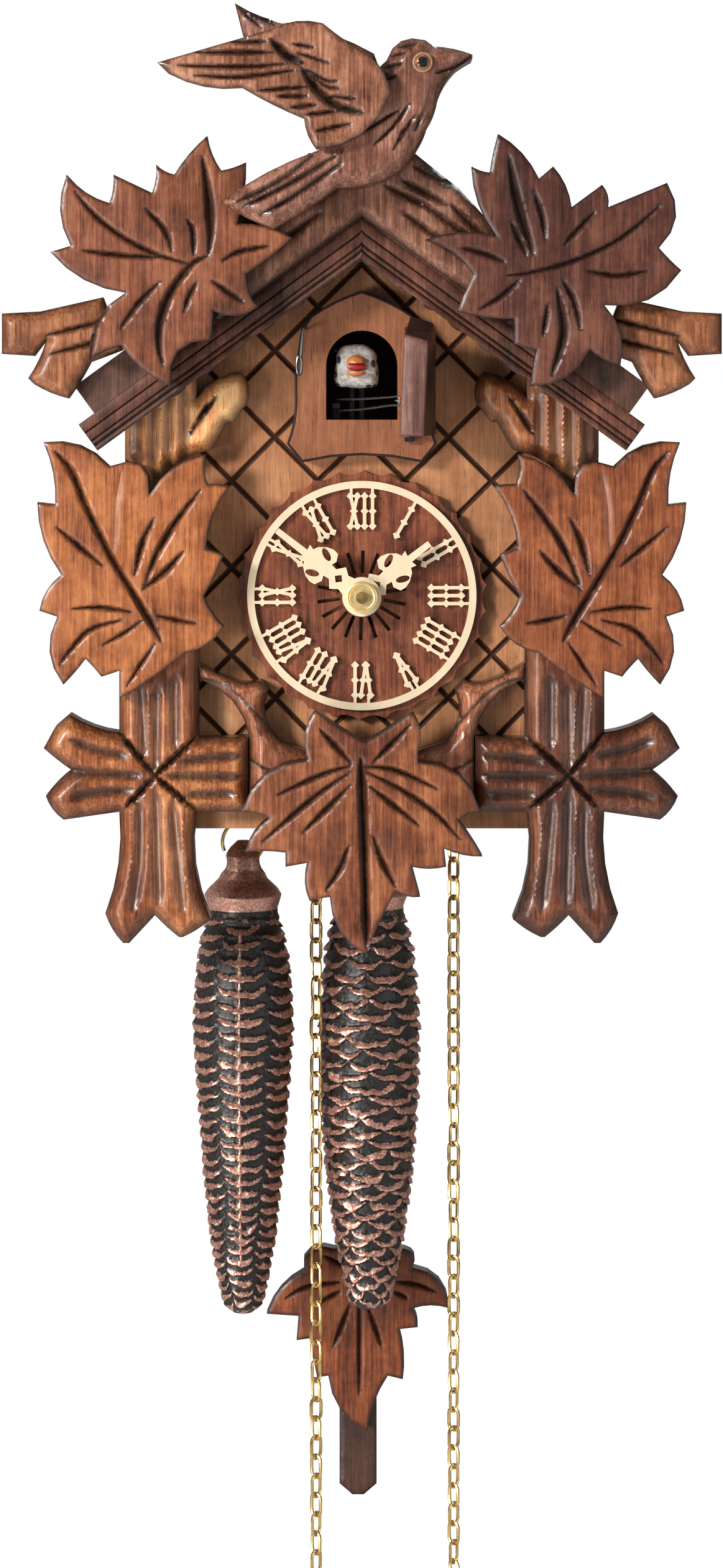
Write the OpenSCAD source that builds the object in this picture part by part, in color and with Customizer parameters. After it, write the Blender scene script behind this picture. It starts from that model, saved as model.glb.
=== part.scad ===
// Carved one-day cuckoo clock: a gabled case with leaf carvings, a dial with pierced hands,
// a cuckoo behind its own door, a chain-driven movement, a leaf pendulum and two cone weights.
// X runs to the right, Y into the wall and Z up. The origin is the hanging hole, at the wall.

/* [Case] */
// Width of the case over its side panels
case_w = 120; // [116:1:124]
// Depth of the case from the wall to the facade
case_d = 80; // [78:1:84]
// Depth of the case's lower edge below the hanging hole
case_low = 131; // [130:1:134]
// Height of the gable's peak above the hanging hole, under the roof
gable_peak = 22.7; // [21:0.1:24]
// Slope of the roof
roof_slope = 36; // [34:0.5:38]
// Thickness of the facade board
front_t = 6; // [5:0.5:7]
// Thickness of the side panels
side_t = 4; // [3:0.5:5]
// Thickness of the bottom and back boards
board_t = 5; // [4:0.5:6]
// Distance from one crossing of the facade's grooves to the next
groove_pitch = 11; // [10:0.5:13]
// Width and depth of a facade groove
groove_w = 1.2; // [0.8:0.1:1.6]
// Diameter of the hanging hole
hang_d = 8; // [6:0.5:10]

/* [Roof] */
// Thickness of the roof boards
roof_t = 5; // [4:0.5:6]
// Width of the fascia on the roof's front edge
fascia_w = 8.2; // [7:0.2:9]
// How far the roof stands out in front of the facade
overhang = 20; // [18:1:20]
// Distance from the middle to the eave, along X
eave_x = 66.5; // [64:0.5:70]
// Distance between two scallops of the gable trim
scallop_pitch = 9.2; // [8:0.2:11]

/* [Carving] */
// Thickness of the fluted branches on the facade
branch_t = 10; // [8:0.5:11]
// Thickness of the side leaves
side_leaf_t = 6; // [4:0.5:8]
// Thickness of the leaf below the dial
bottom_leaf_t = 9; // [6:0.5:10]
// Thickness of the crown logs and the eave twigs
log_t = 6; // [5:0.5:7]
// Thickness of the two top leaves
top_leaf_t = 6; // [4:0.5:7]
// Diameter of the carved bird's glass eye
eye_d = 5; // [4:0.2:6]

/* [Dial] */
// Height of the dial's centre below the hanging hole
dial_z = 71.8; // [70:0.2:73]
// Outer diameter of the chapter ring
ring_d = 57.8; // [56:0.2:60]
// Width of the chapter ring's band
ring_band = 1.8; // [1.4:0.1:2.4]
// Radius of the dial plate at its cusps
plate_r = 31.6; // [31:0.1:32.5]
// Number of scallops round the dial plate
scallops = 30; // [24:1:36]
// Number of radial slots round the hands
dial_slots = 18; // [12:1:24]
// Length of the minute hand
minute_len = 27; // [25:0.5:28]
// Length of the hour hand
hour_len = 21.6; // [20:0.5:23]
// Direction of the minute hand, clockwise from twelve
minute_turn = -52; // [-180:1:180]
// Direction of the hour hand, clockwise from twelve
hour_turn = 52; // [-180:1:180]

/* [Cuckoo] */
// Width of the doorway
door_gap_w = 18; // [16:0.5:19]
// Width of the cuckoo's door
door_w = 24; // [22:0.5:25]
// Thickness of the cuckoo's door
door_t = 6.4; // [5:0.2:7]
// How far the door stands open at rest
door_open = 82; // [70:1:88]
// Diameter of the cuckoo's head
head_d = 11.4; // [10:0.2:12.5]

/* [Movement] */
// Width of the brass plates
plate_w = 72; // [70:1:73]
// Thickness of the brass plates
plate_t = 1.5; // [1.2:0.1:2]
// Pockets round the left chain wheel, each taking two links
left_pockets = 6; // [6:1:6]
// Pockets round the right chain wheel
right_pockets = 7; // [7:1:7]
// Teeth of the escape wheel
escape_teeth = 30; // [24:2:36]

/* [Pendulum, weights and chains] */
// Distance from the pendulum's pivot to the tip of its stick
pendulum_len = 268; // [260:1:272]
// Thickness of the pendulum's leaf
pendulum_leaf_t = 6; // [4:0.5:8]
// Distance between the links of a chain
link_pitch = 5; // [5:0.1:5]
// Width of a chain, over its links
chain_d = 4; // [3.6:0.1:4.2]
// Largest diameter of a weight
weight_d = 27.8; // [26:0.2:28]

/* [Hidden] */
$fn = 48;

// Planes, as distances in front of the wall
facade_y = -case_d;
inside_y = -case_d + front_t;
back_y = -board_t;
branch_y = facade_y - branch_t;
fascia_y = facade_y - overhang;
log_y = fascia_y - log_t;
top_leaf_y = log_y - top_leaf_t;
bird_y = top_leaf_y - 8;
wing_y = bird_y - 5;
bird_back_y = log_y + 2;
trim_y = facade_y - 16;
dial_y = facade_y - 3.5;
ring_y = dial_y - 1.5;
frame_y = facade_y - 6;
half_w = case_w / 2;
panel_x = half_w - side_t;
roof_rise = tan(roof_slope);

// Dial and hands
scallop_turn = 4.8;
slot_turn = -1.5;
roman = ["I", "II", "III", "IIII", "V", "VI", "VII", "VIII", "IX", "X", "XI", "XII"];
numeral_in = 16.8;
numeral_out = 25.8;
slot_in = 5.6;
slot_out = 11.3;
slot_w = 0.9;
dial_bore_r = 4;
hand_t = 1.2;
hour_hand_y = ring_y - 2.7;
minute_hand_y = hour_hand_y - hand_t - 0.6;

// Cuckoo
doorway_low = -27.5;
door_low = -31.3;
door_high = -6.6;
door_apex = -1.7;
door_y = frame_y - 0.6;
door_hinge_x = 12.7;
pin_r = 0.5;
pin_x = door_hinge_x - 0.7;
pin_y = door_y - 0.7;
staple_x = 8;
staple_z = -22.6;
staple_out = 2;
wire_pivot = [-6.5, -82];
wire_r = 0.45;
wire_z = -21.4;
head_x = -1.4;
head_z = -14;
head_front = -84;
carriage_z = -33.6;
latch_x = -15;
latch_z = -4.4;
latch_y = facade_y - 14;

// Movement
plate_front_y = -64;
plate_back_y = -34;
plate_low = -118;
plate_high = -34;
left_wheel = [-21.5, -98];
right_wheel = [13.1, -98];
left_r = left_pockets * 2 * link_pitch / (2 * PI);
right_r = right_pockets * 2 * link_pitch / (2 * PI);
left_y = -47.5;
right_y = -38.5;
pivot = [-1, -50];
escape_axis = [-1, -66];
hammer_axis = [30, -46];
pendulum_y = -14;
arbor_r = 1.5;
bore_play = 0.1;
gong_axis = [22, -85];
cover_x = 44;
cover_low = -122;
cover_high = -26;
whistle_low = -120;
whistle_high = -50;
whistle_in = 37.5;
whistle_y = [-68, -44];
lid_t = 2.5;
lid_gap = 2.5;

// Weights and chains: the free strands hang straight down and end in a tied hank
weight_h = 123.4;
left_weight_tip = -261.3;
right_weight_tip = -262.3;
hook_r = 5.6;
strand_low = -336;
hank_h = 88;
hank_w = 28;
hank_d = 20;
left_strand_x = -11.95;
right_strand_x = 24.24;
left_route = [[left_strand_x, left_y, -98.2], [left_strand_x, left_y, strand_low]];
right_route = [[right_strand_x, right_y, -98.2], [right_strand_x, right_y, strand_low]];
strand_rings = 24;

// Weight profile from the tip up: height above the tip and share of the largest radius
cone_profile = [
    [0, 0], [0.4, 0.18], [2.4, 0.3], [11, 0.52], [19.5, 0.65], [36, 0.82], [55, 0.94],
    [74, 1], [81.5, 1], [91.5, 0.92], [99.8, 0.83], [105.6, 0.61], [109.4, 0.71],
    [114.2, 0.5], [118.6, 0.3], [121.6, 0.26], [weight_h, 0.14], [weight_h, 0]];

// Outlines in X and Z. The third number bows the edge to the next point outwards or inwards,
// as a share of the edge's length.
top_leaf_left_points = [
    [-38, 42.5, 0.06], [-34.5, 34, 0.04], [-28.5, 36, -0.04], [-30.5, 21, -0.08],
    [-17, 17.5, -0.02], [-28.5, 8.5, 0.1], [-25.5, 0.5, -0.16], [-36.5, -0.5, 0],
    [-37, -7.5, 0.28], [-47, -19, -0.08], [-59, -9, 0.06], [-67, -12.5, -0.16],
    [-58, 4, -0.1], [-76.5, 14, 0], [-71.5, 15.5, -0.12], [-72.5, 33, 0.08], [-62, 26, 0.06],
    [-61, 33, 0], [-51.5, 28.5, 0.06], [-50.5, 35.5, 0.08], [-46, 33, -0.04]];
top_leaf_right_points = [
    [33.5, 43, -0.08], [43.5, 32, 0], [47, 35, -0.08], [51.5, 25, 0], [59, 30.5, -0.12],
    [60.5, 25, 0], [75, 31, -0.2], [73, 15, 0.02], [78.5, 9.5, -0.16], [59.5, 1, -0.14],
    [63.5, -14, -0.06], [56, -10, -0.16], [41.5, -19, -0.02], [43, -10, -0.06],
    [37.5, -8.5, 0], [37.5, -2.5, -0.04], [23.5, -0.5, -0.02], [27.5, 8.5, 0.1],
    [15.5, 17, -0.08], [33, 18, -0.08], [27, 35, 0.06], [31.5, 33.5, -0.02]];
side_leaf_points = [
    [-79.5, -33, -0.14], [-63, -39, -0.4], [-53, -46, -0.12], [-39, -36, 0.1],
    [-38.5, -43.5, -0.04], [-33, -44, 0.08], [-39, -59.5, 0], [-34.5, -61, -0.02],
    [-39.5, -71.5, 0.06], [-34.5, -79, -0.12], [-44, -85.5, -0.02], [-60.5, -97, 0],
    [-60.5, -90, 0], [-65, -91.5, 0.02], [-69, -87, -0.02], [-74.5, -93.5, -0.16],
    [-76, -76.5, 0], [-80.5, -75, -0.1], [-75, -66, -0.08], [-81, -48, 0],
    [-76.5, -48.5, 0.06]];
bottom_leaf_points = [
    [-11.5, -99.5, 0.04], [1, -107.5, 0.02], [12.5, -100, -0.14], [14, -110, 0],
    [14, -112.5, -0.2], [29.5, -125, 0.12], [24, -127, -0.02], [30, -136, -0.06],
    [20.5, -134, 0], [21, -138.5, -0.06], [12.5, -138.5, 0], [14.5, -146, -0.1],
    [8.5, -144.5, 0.02], [1, -160.5, -0.14], [-8, -146, 0.02], [-13, -147, -0.1],
    [-13.5, -137.5, 0], [-19, -138.5, 0], [-19, -135, 0.04], [-29, -135, -0.1],
    [-23, -126.5, 0.08], [-30, -125, -0.18], [-13.5, -112, -0.14]];
pendulum_leaf_points = [
    [-15.5, -253, -0.2], [-7.5, -250.5, -0.02], [11.5, -250.5, -0.32], [13.5, -255.5, -0.2],
    [23.5, -266.5, 0.08], [13.5, -266.5, -0.1], [15, -271.5, 0], [10, -272, -0.06],
    [11, -285.5, 0], [7, -284.5, 0.06], [1.5, -299.5, -0.14], [-9, -284.5, 0],
    [-12, -285, 0], [-14, -274.5, 0], [-17.5, -275, 0], [-17, -268.5, 0], [-25.5, -268, -0.1],
    [-15.5, -256.5, 0]];
upper_branch_points = [
    [-58.5, -20.5, 0], [-58.5, -36, 0], [-53.5, -46, -0.12], [-38, -35, 0], [-34, -28, 0],
    [-32.5, -28, 0], [-29, -23.5, 0.16], [-30.5, -15.5, 0.12], [-41.5, -22, 0],
    [-41, -7.8, 0]];
side_branch_points = [
    [-61, -72, 0], [-61, -106, -0.06], [-73.5, -101.5, 0], [-77, -104.5, 0], [-80, -110, 0.02],
    [-73, -115.5, 0.04], [-79.5, -122, 0.08], [-75, -128, 0], [-61, -126, -0.06],
    [-64.5, -151.5, 0.06], [-60, -159, 0], [-58.5, -159, 0], [-52, -152, 0.02],
    [-46, -157.5, 0], [-45, -157.5, 0.04], [-38, -153, -0.08], [-41.5, -126, 0],
    [-28.5, -126, 0], [-28.5, -107, 0], [-41, -107.5, 0], [-41, -72, 0]];
antler_points = [
    [-41, -88.5, 0.04], [-30.5, -93.5, 0], [-28, -93.5, 0], [-25.5, -93, 0],
    [-23.5, -95.5, 0.18], [-20.5, -108.5, 0], [-10, -112, 0], [-10, -124, 0],
    [-28.2, -124, 0], [-28.2, -107.5, 0.14], [-40.8, -92.5, 0]];
twig_points = [
    [-79.5, -0.5, 0], [-89, -1, 0], [-89, -11, 0], [-81, -11.5, 0], [-78, -7.5, -0.04],
    [-82.5, -17, 0], [-81, -18.5, 0.04], [-72.5, -22, 0.02], [-67, -13, 0], [-59, -10, 0],
    [-64, 3, 0]];
bird_body_points = [
    [-34.5, 26, -0.04], [-11, 38.5, 0.16], [2.5, 56.5, -0.04], [6, 60.5, -0.24],
    [15.5, 65.5, 0], [17.5, 64, -0.04], [27, 62, 0], [27, 61, 0.02], [23, 58.5, 0.06],
    [18.5, 51, -0.06], [16, 44.5, -0.04], [13.5, 39, -0.08], [9, 33.5, -0.1],
    [-6, 29.5, -0.02], [-21.5, 19.5, -0.04]];
near_wing_points = [
    [-49.5, 59.5, 0], [-22, 67.5, -0.1], [-9.5, 69, 0.02], [2, 61, -0.1], [7, 52, -0.16],
    [-11, 38.5, -0.08], [-14, 46, -0.02], [-29, 53.5, -0.08], [-47, 57, 0]];
far_wing_points = [
    [-31.5, 76, 0.06], [-17, 71, -0.04], [3, 63.5, 0], [4.5, 59.5, 0], [-3.5, 56.5, 0],
    [-23.5, 62.5, 0], [-29.5, 68, 0]];
cuckoo_frame_points = [
    [0, 4.5, -0.04], [12.5, -1.5, 0], [15, -5, 0], [16.5, -16, 0], [16.5, -24, 0.04],
    [18.5, -33.5, 0], [15, -37.8, 0.06], [-15, -37.8, 0], [-18.5, -33.5, 0.04],
    [-16.5, -24, 0], [-16.5, -16, 0], [-15, -5, 0], [-12.5, -1.5, -0.04]];

// Points of an outline whose edges bow by the third number of each corner
function bowed(points, steps = 4) = [
    for (i = [0 : len(points) - 1])
        let (p = points[i], q = points[(i + 1) % len(points)], dx = q[0] - p[0],
             dz = q[1] - p[1], n = p[2] == 0 ? 1 : steps)
        for (k = [0 : n - 1])
            let (t = k / n, b = 4 * p[2] * t * (1 - t))
            [p[0] + dx * t + b * dz, p[1] + dz * t - b * dx]];

function ellipse_points(cx, cz, rx, rz, tilt, n = 18) = [
    for (i = [0 : n - 1])
        let (a = i * 360 / n, x = rx * cos(a), z = rz * sin(a))
        [cx + x * cos(tilt) - z * sin(tilt), cz + x * sin(tilt) + z * cos(tilt)]];

function roof_under(x) = gable_peak - abs(x) * roof_rise;

// Extrudes an X and Z outline from one plane to another, along Y
module slab(y_front, y_back) {
    translate([0, y_back, 0]) rotate([90, 0, 0]) linear_extrude(y_back - y_front) children();
}

module plate(points, y_front, y_back) {
    slab(y_front, y_back) polygon(bowed(points));
}

// A round bar along Y through a point in X and Z
module rod_y(at, r, y_front, y_back) {
    translate([at[0], y_back, at[1]]) rotate([90, 0, 0]) cylinder(r = r, h = y_back - y_front);
}

// A round bar between two points
module bar(a, b, r) {
    d = b - a;
    translate(a) rotate([0, acos(d[2] / norm(d)), atan2(d[1], d[0])]) cylinder(r = r, h = norm(d));
}

module both_sides() {
    children();
    mirror([1, 0, 0]) children();
}

// ---- Case ----

module facade_outline() {
    polygon([[-half_w, -case_low], [half_w, -case_low], [half_w, roof_under(half_w)],
             [0, gable_peak], [-half_w, roof_under(half_w)]]);
}

module doorway_outline() {
    r = door_gap_w / 2;
    translate([-r, doorway_low]) square([door_gap_w, -doorway_low - 5 - r]);
    translate([0, -5 - r]) circle(r);
}

// Crossing grooves at 45 degrees, cut as square bars turned onto their edge
module facade_grooves() {
    reach = 170;
    first_z = 12;
    for (side = [-1, 1], k = [-9 : 9])
        translate([k * groove_pitch * 2, facade_y, first_z]) rotate([0, side * 45, 0])
            rotate([0, 0, 45]) cube([groove_w, groove_w, 2 * reach], center = true);
}

module front_board() {
    color("#8a5a34") difference() {
        slab(facade_y, inside_y) difference() {
            facade_outline();
            doorway_outline();
            translate([0, -dial_z]) circle(dial_bore_r);
        }
        facade_grooves();
    }
}

module side_panels() {
    color("#6b3f24") both_sides() slab(inside_y, back_y)
        polygon([[panel_x, -case_low], [half_w, -case_low], [half_w, roof_under(half_w)],
                 [panel_x, roof_under(panel_x)]]);
}

// Slots for the two chains and for the pendulum's leader
module bottom_board() {
    top = -case_low + board_t;
    color("#5d3620") difference() {
        slab(inside_y, back_y) translate([-panel_x, -case_low]) square([2 * panel_x, board_t]);
        for (s = [[-37, -6, left_y], [-4, 30, right_y]])
            translate([s[0], s[2] - 5, top - 2 * board_t]) cube([s[1] - s[0], 10, 3 * board_t]);
        translate([pivot[0] - 12, pendulum_y - 4, top - 2 * board_t]) cube([24, 8, 3 * board_t]);
    }
}

// A thin frame inside its window stops the cover and the light
module back_board() {
    stop_t = 1.5;
    color("#6f4528") {
        slab(back_y, 0) difference() {
            facade_outline();
            circle(d = hang_d);
            cover_window(0);
        }
        slab(back_y - stop_t, back_y) difference() {
            cover_window(4);
            cover_window(-2.5);
        }
    }
}

module cover_window(grow) {
    translate([-cover_x - grow, cover_low - grow])
        square([2 * (cover_x + grow), cover_high - cover_low + 2 * grow]);
}

// The cover fills the back board's window and has sound slots
module back_cover() {
    gap = 0.4;
    color("#7a4c2c") slab(back_y, -1) difference() {
        cover_window(-gap);
        for (k = [-3 : 3]) translate([k * 6 - 1, -60]) square([2, 18]);
    }
}

// ---- Roof ----

module roof_side() {
    c = cos(roof_slope);
    along = [c, -sin(roof_slope)];
    up = [sin(roof_slope), c];
    low = [eave_x, roof_under(eave_x)];
    slab(fascia_y + 4, -0.5) polygon([[0, gable_peak], low, low + up * roof_t,
                                      [0, gable_peak + roof_t / c]]);
    slab(fascia_y, fascia_y + 4) polygon([[0, gable_peak], low, low + up * fascia_w,
                                          [0, gable_peak + fascia_w / c]]);
}

module roof_boards() {
    color("#5a2f1c") both_sides() roof_side();
}

// A strip under the roof's front edge with round scallops along its lower side
module gable_trim() {
    c = cos(roof_slope);
    strip = 4.2;
    r = scallop_pitch * 0.56;
    color("#4a2415") both_sides() slab(trim_y, trim_y + 3) intersection() {
        union() {
            polygon([[0, gable_peak], [eave_x - 6, roof_under(eave_x - 6)],
                     [eave_x - 6, roof_under(eave_x - 6) - strip / c], [0, gable_peak - strip / c]]);
            for (k = [0 : 6]) translate([(k + 0.5) * scallop_pitch * c,
                                         roof_under((k + 0.5) * scallop_pitch * c) - strip / c + 1])
                circle(r);
        }
        polygon([[0, gable_peak], [eave_x - 6, roof_under(eave_x - 6)], [eave_x - 6, -60], [0, -60]]);
    }
}

// ---- Carving ----

module crown_logs() {
    base = gable_peak + 0.5;
    color("#4d2616") both_sides() slab(log_y, fascia_y)
        polygon([[0, base], [36, base - 36 * roof_rise], [38, 8], [33, 20], [24, 30],
                 [13, 38.7], [6, 36], [0, 34]]);
}

module top_leaf_left() {
    color("#6e3420") plate(top_leaf_left_points, top_leaf_y, log_y);
}

module top_leaf_right() {
    color("#6e3420") plate(top_leaf_right_points, top_leaf_y, log_y);
}

module eave_twigs() {
    color("#7a3f22") both_sides() plate(twig_points, log_y, fascia_y);
}

module upper_branches() {
    color("#8a5228") both_sides() plate(upper_branch_points, branch_y, facade_y);
}

module side_branches() {
    color("#8a5228") both_sides() plate(side_branch_points, branch_y, facade_y);
}

module lower_branch() {
    color("#8a5228") {
        both_sides() plate(antler_points, branch_y, facade_y);
        slab(branch_y, facade_y) translate([-10, -124]) square([20, 12]);
    }
}

module side_leaf_left() {
    color("#a2602c") plate(side_leaf_points, branch_y - side_leaf_t, branch_y);
}

module side_leaf_right() {
    color("#a2602c") mirror([1, 0, 0]) plate(side_leaf_points, branch_y - side_leaf_t, branch_y);
}

module bottom_leaf() {
    color("#a2602c") plate(bottom_leaf_points, branch_y - bottom_leaf_t, branch_y);
}

// The body stands on the crown; behind the tail it is cut back to pass in front of the leaf
module carved_bird() {
    tail_x = -16;
    color("#7a4426") difference() {
        plate(bird_body_points, bird_y, bird_back_y + 2);
        translate([tail_x - 40, top_leaf_y - 0.3, 0]) cube([40, 40, 80]);
        translate([-60, log_y - 0.2, -20]) cube([120, 20, 59.2]);
    }
}

module bird_wings() {
    color("#7a4426") {
        plate(near_wing_points, wing_y, bird_y);
        plate(far_wing_points, bird_back_y + 2, bird_back_y + 7);
    }
}

module bird_eye() {
    color("#c46a20") rod_y([14.8, 59.8], eye_d / 2, bird_y - 1.2, bird_y);
}

// ---- Dial ----

module dial_plate() {
    bite_r = 5.9;
    bite_at = plate_r * cos(180 / scallops) - 1 + bite_r;
    color("#5f2f1a") slab(dial_y, facade_y) translate([0, -dial_z]) difference() {
        circle(plate_r, $fn = 96);
        circle(dial_bore_r);
        for (i = [0 : scallops - 1]) rotate(i * 360 / scallops + scallop_turn)
            translate([0, bite_at]) circle(bite_r, $fn = 32);
        for (i = [0 : dial_slots - 1]) rotate(i * 360 / dial_slots + slot_turn)
            translate([-slot_w / 2, slot_in]) square([slot_w, slot_out - slot_in]);
    }
}

function glyph_w(c) = c == "I" ? 2 : 3.4;
function word_w(w, n) = n == 0 ? 0 : glyph_w(w[n - 1]) + word_w(w, n - 1);
function strokes(c) = c == "I" ? [[0, 0]] : c == "V" ? [[0, -1.3], [0, 1.3]] : [[-1, 1], [1, -1]];

// One stroke of a numeral, thick at both ends and at the middle
module stroke(low_x, high_x) {
    h = numeral_out - numeral_in;
    w = 0.42;
    knob = 1.45;
    polygon([[low_x - w, numeral_in], [low_x + w, numeral_in], [high_x + w, numeral_out],
             [high_x - w, numeral_out]]);
    for (t = [0.08, 0.5, 0.92]) translate([low_x + (high_x - low_x) * t, numeral_in + h * t])
        rotate(45) square(knob, center = true);
}

module numeral(word) {
    whole = word_w(word, len(word));
    for (i = [0 : len(word) - 1], s = strokes(word[i])) {
        x = word_w(word, i) + glyph_w(word[i]) / 2 - whole / 2;
        stroke(x + s[0], x + s[1]);
    }
    tab = whole / 2 - 1;
    for (x = [-tab, tab]) translate([x - 0.35, numeral_out - 0.8])
        square([0.7, ring_d / 2 - ring_band / 2 - numeral_out + 0.8]);
}

module chapter_ring() {
    color("#ecd9ae") slab(ring_y, dial_y) translate([0, -dial_z]) {
        difference() {
            circle(d = ring_d, $fn = 96);
            circle(d = ring_d - 2 * ring_band, $fn = 96);
        }
        for (i = [0 : 11]) rotate(-30 * (i + 1)) numeral(roman[i]);
    }
}

// A pierced hand pointing up: boss, diamond, two scrolls and a plain bar to the tip.
// The scrolls begin at the height scroll_at.
module hand_outline(length, scroll_at, hole_r) {
    s = scroll_at;
    half = [[2.6, 3.8], [2.1, s - 5.4], [3.4, s - 3.6], [1.5, s - 2], [1.7, s - 0.4],
            [3, s - 0.9], [4.8, s], [5, s + 1.5], [4.5, s + 3.1], [3.1, s + 5],
            [1.9, s + 5.6], [2.3, s + 7], [0.9, s + 6.7], [0.75, length]];
    turned = [for (i = [len(half) - 1 : -1 : 0]) [-half[i][0], half[i][1]]];
    difference() {
        union() {
            circle(4.9);
            polygon(concat(half, turned));
        }
        circle(hole_r);
        translate([0, s - 3.9]) rotate(45) square(1.7, center = true);
        for (side = [-1, 1])
            polygon(ellipse_points(side * 2.9, s + 2.2, 0.85, 1.8, side * -24));
    }
}

module minute_hand() {
    color("#f0dcae") slab(minute_hand_y - hand_t, minute_hand_y) translate([0, -dial_z])
        rotate(-minute_turn) hand_outline(minute_len, 11.3, arbor_r);
}

module hour_hand() {
    color("#f0dcae") slab(hour_hand_y - hand_t, hour_hand_y) translate([0, -dial_z])
        rotate(-hour_turn) hand_outline(hour_len, 8.6, 2.2);
}

module hand_nut() {
    front = minute_hand_y - hand_t;
    color("#d0a93c") difference() {
        union() {
            rod_y([0, -dial_z], 3.95, front - 1.4, front);
            rod_y([0, -dial_z], 3.2, front - 2.6, front - 1.4);
        }
        rod_y([0, -dial_z], arbor_r, front - 3, front + 1);
    }
}

// ---- Cuckoo ----

module cuckoo_frame() {
    color("#7d4a2a") slab(frame_y, facade_y) difference() {
        polygon(bowed(cuckoo_frame_points));
        doorway_outline();
    }
}

// Turns its child about the door's pins from closed to the rest position
module opened() {
    translate([pin_x, pin_y, 0]) rotate([0, 0, door_open]) translate([-pin_x, -pin_y, 0])
        children();
}

module cuckoo_door() {
    x0 = door_hinge_x - door_w;
    eye = [door_hinge_x - staple_x, door_y + staple_out, staple_z];
    color("#6f3d27") opened() difference() {
        slab(door_y - door_t, door_y)
            polygon([[x0, door_low], [door_hinge_x, door_low], [door_hinge_x, door_high],
                     [x0 + door_w / 2, door_apex], [x0, door_high]]);
        translate([pin_x, pin_y, door_low - 1]) cylinder(r = pin_r + bore_play, h = 60);
    }
    color("silver") opened() difference() {
        translate([eye[0] - 1.2, door_y - 0.001, staple_z - 0.4]) cube([2.4, staple_out + 1, 0.8]);
        translate([eye[0], eye[1], staple_z - 1]) cylinder(r = 0.75, h = 2);
    }
}

// Two pins on lugs of the frame that the door swings on, one into each end of its bore
module door_hinge_pins() {
    lug_t = 1;
    lower = door_low - 1.6;
    upper = door_high + 1.4;
    color("silver") {
        for (z = [lower, upper]) translate([pin_x - 1.2, pin_y - 1.2, z])
            cube([2.4, frame_y - pin_y + 1.2, lug_t]);
        translate([pin_x, pin_y, lower]) cylinder(r = pin_r, h = 4.6);
        translate([pin_x, pin_y, upper - 4.4]) cylinder(r = pin_r, h = 4.4 + lug_t);
    }
}

module latch_wire() {
    color("silver") {
        rod_y([latch_x, latch_z], 0.6, latch_y - 0.6, frame_y - 0.05);
        translate([latch_x, latch_y, latch_z - 11.4]) cylinder(r = 0.6, h = 11.4);
    }
}

// A slice of the beak's cone, from back to front and from low to high beside its axis
module beak_part(back, front, low, high) {
    color("#d0702c") translate([head_x, head_front, head_z]) intersection() {
        rotate([90, 0, 0]) cylinder(r1 = 2.8, r2 = 1.4, h = front);
        translate([-4, -front, low]) cube([8, front - back, high - low]);
    }
}

// Head and body are turned about one axis that runs backwards; the upper beak is fixed to them
module cuckoo_body() {
    r = head_d / 2;
    color("#e8e4d8") translate([head_x, head_front, head_z]) rotate([-90, 0, 0]) rotate_extrude()
        polygon([[0, 0], [r * 0.72, 0.4], [r * 0.95, 2], [r, 5], [r * 0.9, 8], [r * 0.62, 11],
                 [r * 0.5, 14], [0, 15]]);
    beak_part(0, 3.8, 0.2, 4);
}

// The lower beak hangs in front of the head on a cross axis
module cuckoo_beak() {
    beak_part(0.8, 3.6, -4, -0.2);
}

// Carriage that runs on the plates' upper edges, with two legs for the bird and a post for the
// door's wire
module bird_arm() {
    leg_y = -71.2;
    post_x = wire_pivot[0] - 0.9;
    leg_top = head_z - head_d / 2 * 0.62 - 0.4;
    floor_z = carriage_z + 2;
    color("#26241f") {
        translate([-7.5, -72, carriage_z]) cube([15, 30, 2]);
        for (x = [head_x - 1.7, head_x + 0.8]) translate([x, leg_y, floor_z]) cube([1.2, 1.2, leg_top - floor_z]);
        translate([post_x, leg_y, floor_z]) cube([1.8, 1.2, wire_z - 2 - floor_z]);
        translate([post_x, wire_pivot[1] - 0.8, wire_z - 3.2])
            cube([1.8, leg_y + 2 - wire_pivot[1], 1.2]);
    }
}

// Wire from the carriage to the staple on the door
module door_wire() {
    dx = door_hinge_x - staple_x - pin_x;
    dy = door_y + staple_out - pin_y;
    from = [wire_pivot[0], wire_pivot[1], wire_z];
    to = [pin_x + dx * cos(door_open) - dy * sin(door_open),
          pin_y + dx * sin(door_open) + dy * cos(door_open), wire_z];
    color("silver") {
        bar(from, to, wire_r);
        translate(from + [0, 0, -1.1]) cylinder(r = 0.8, h = 1.7);
    }
}

// ---- Movement ----

module arbor_holes(at) {
    for (p = at) translate(p) circle(arbor_r + bore_play);
}

module movement_plate(y) {
    half = plate_w / 2;
    slab(y, y + plate_t) difference() {
        translate([-half, plate_low]) square([plate_w, plate_high - plate_low]);
        arbor_holes([left_wheel, right_wheel, [0, -dial_z], hammer_axis]);
        children();
    }
}

module front_plate() {
    color("#c9a544") movement_plate(plate_front_y)
        for (x = [-29, 25]) translate([x, -108]) circle(3);
}

// The rear plate also carries the bracket that the pendulum hangs from
module back_plate() {
    bracket_z = pivot[1] + 4;
    color("#c9a544") {
        movement_plate(plate_back_y) arbor_holes([pivot, escape_axis]);
        translate([pivot[0] - 3, plate_back_y + plate_t, bracket_z]) cube([6, 22.5, 1.5]);
        translate([pivot[0] - 3, -11.5, pivot[1] - 3]) cube([6, 1.5, 7]);
        rod_y(pivot, 0.8, pendulum_y - 2.5, -10);
    }
}

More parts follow.
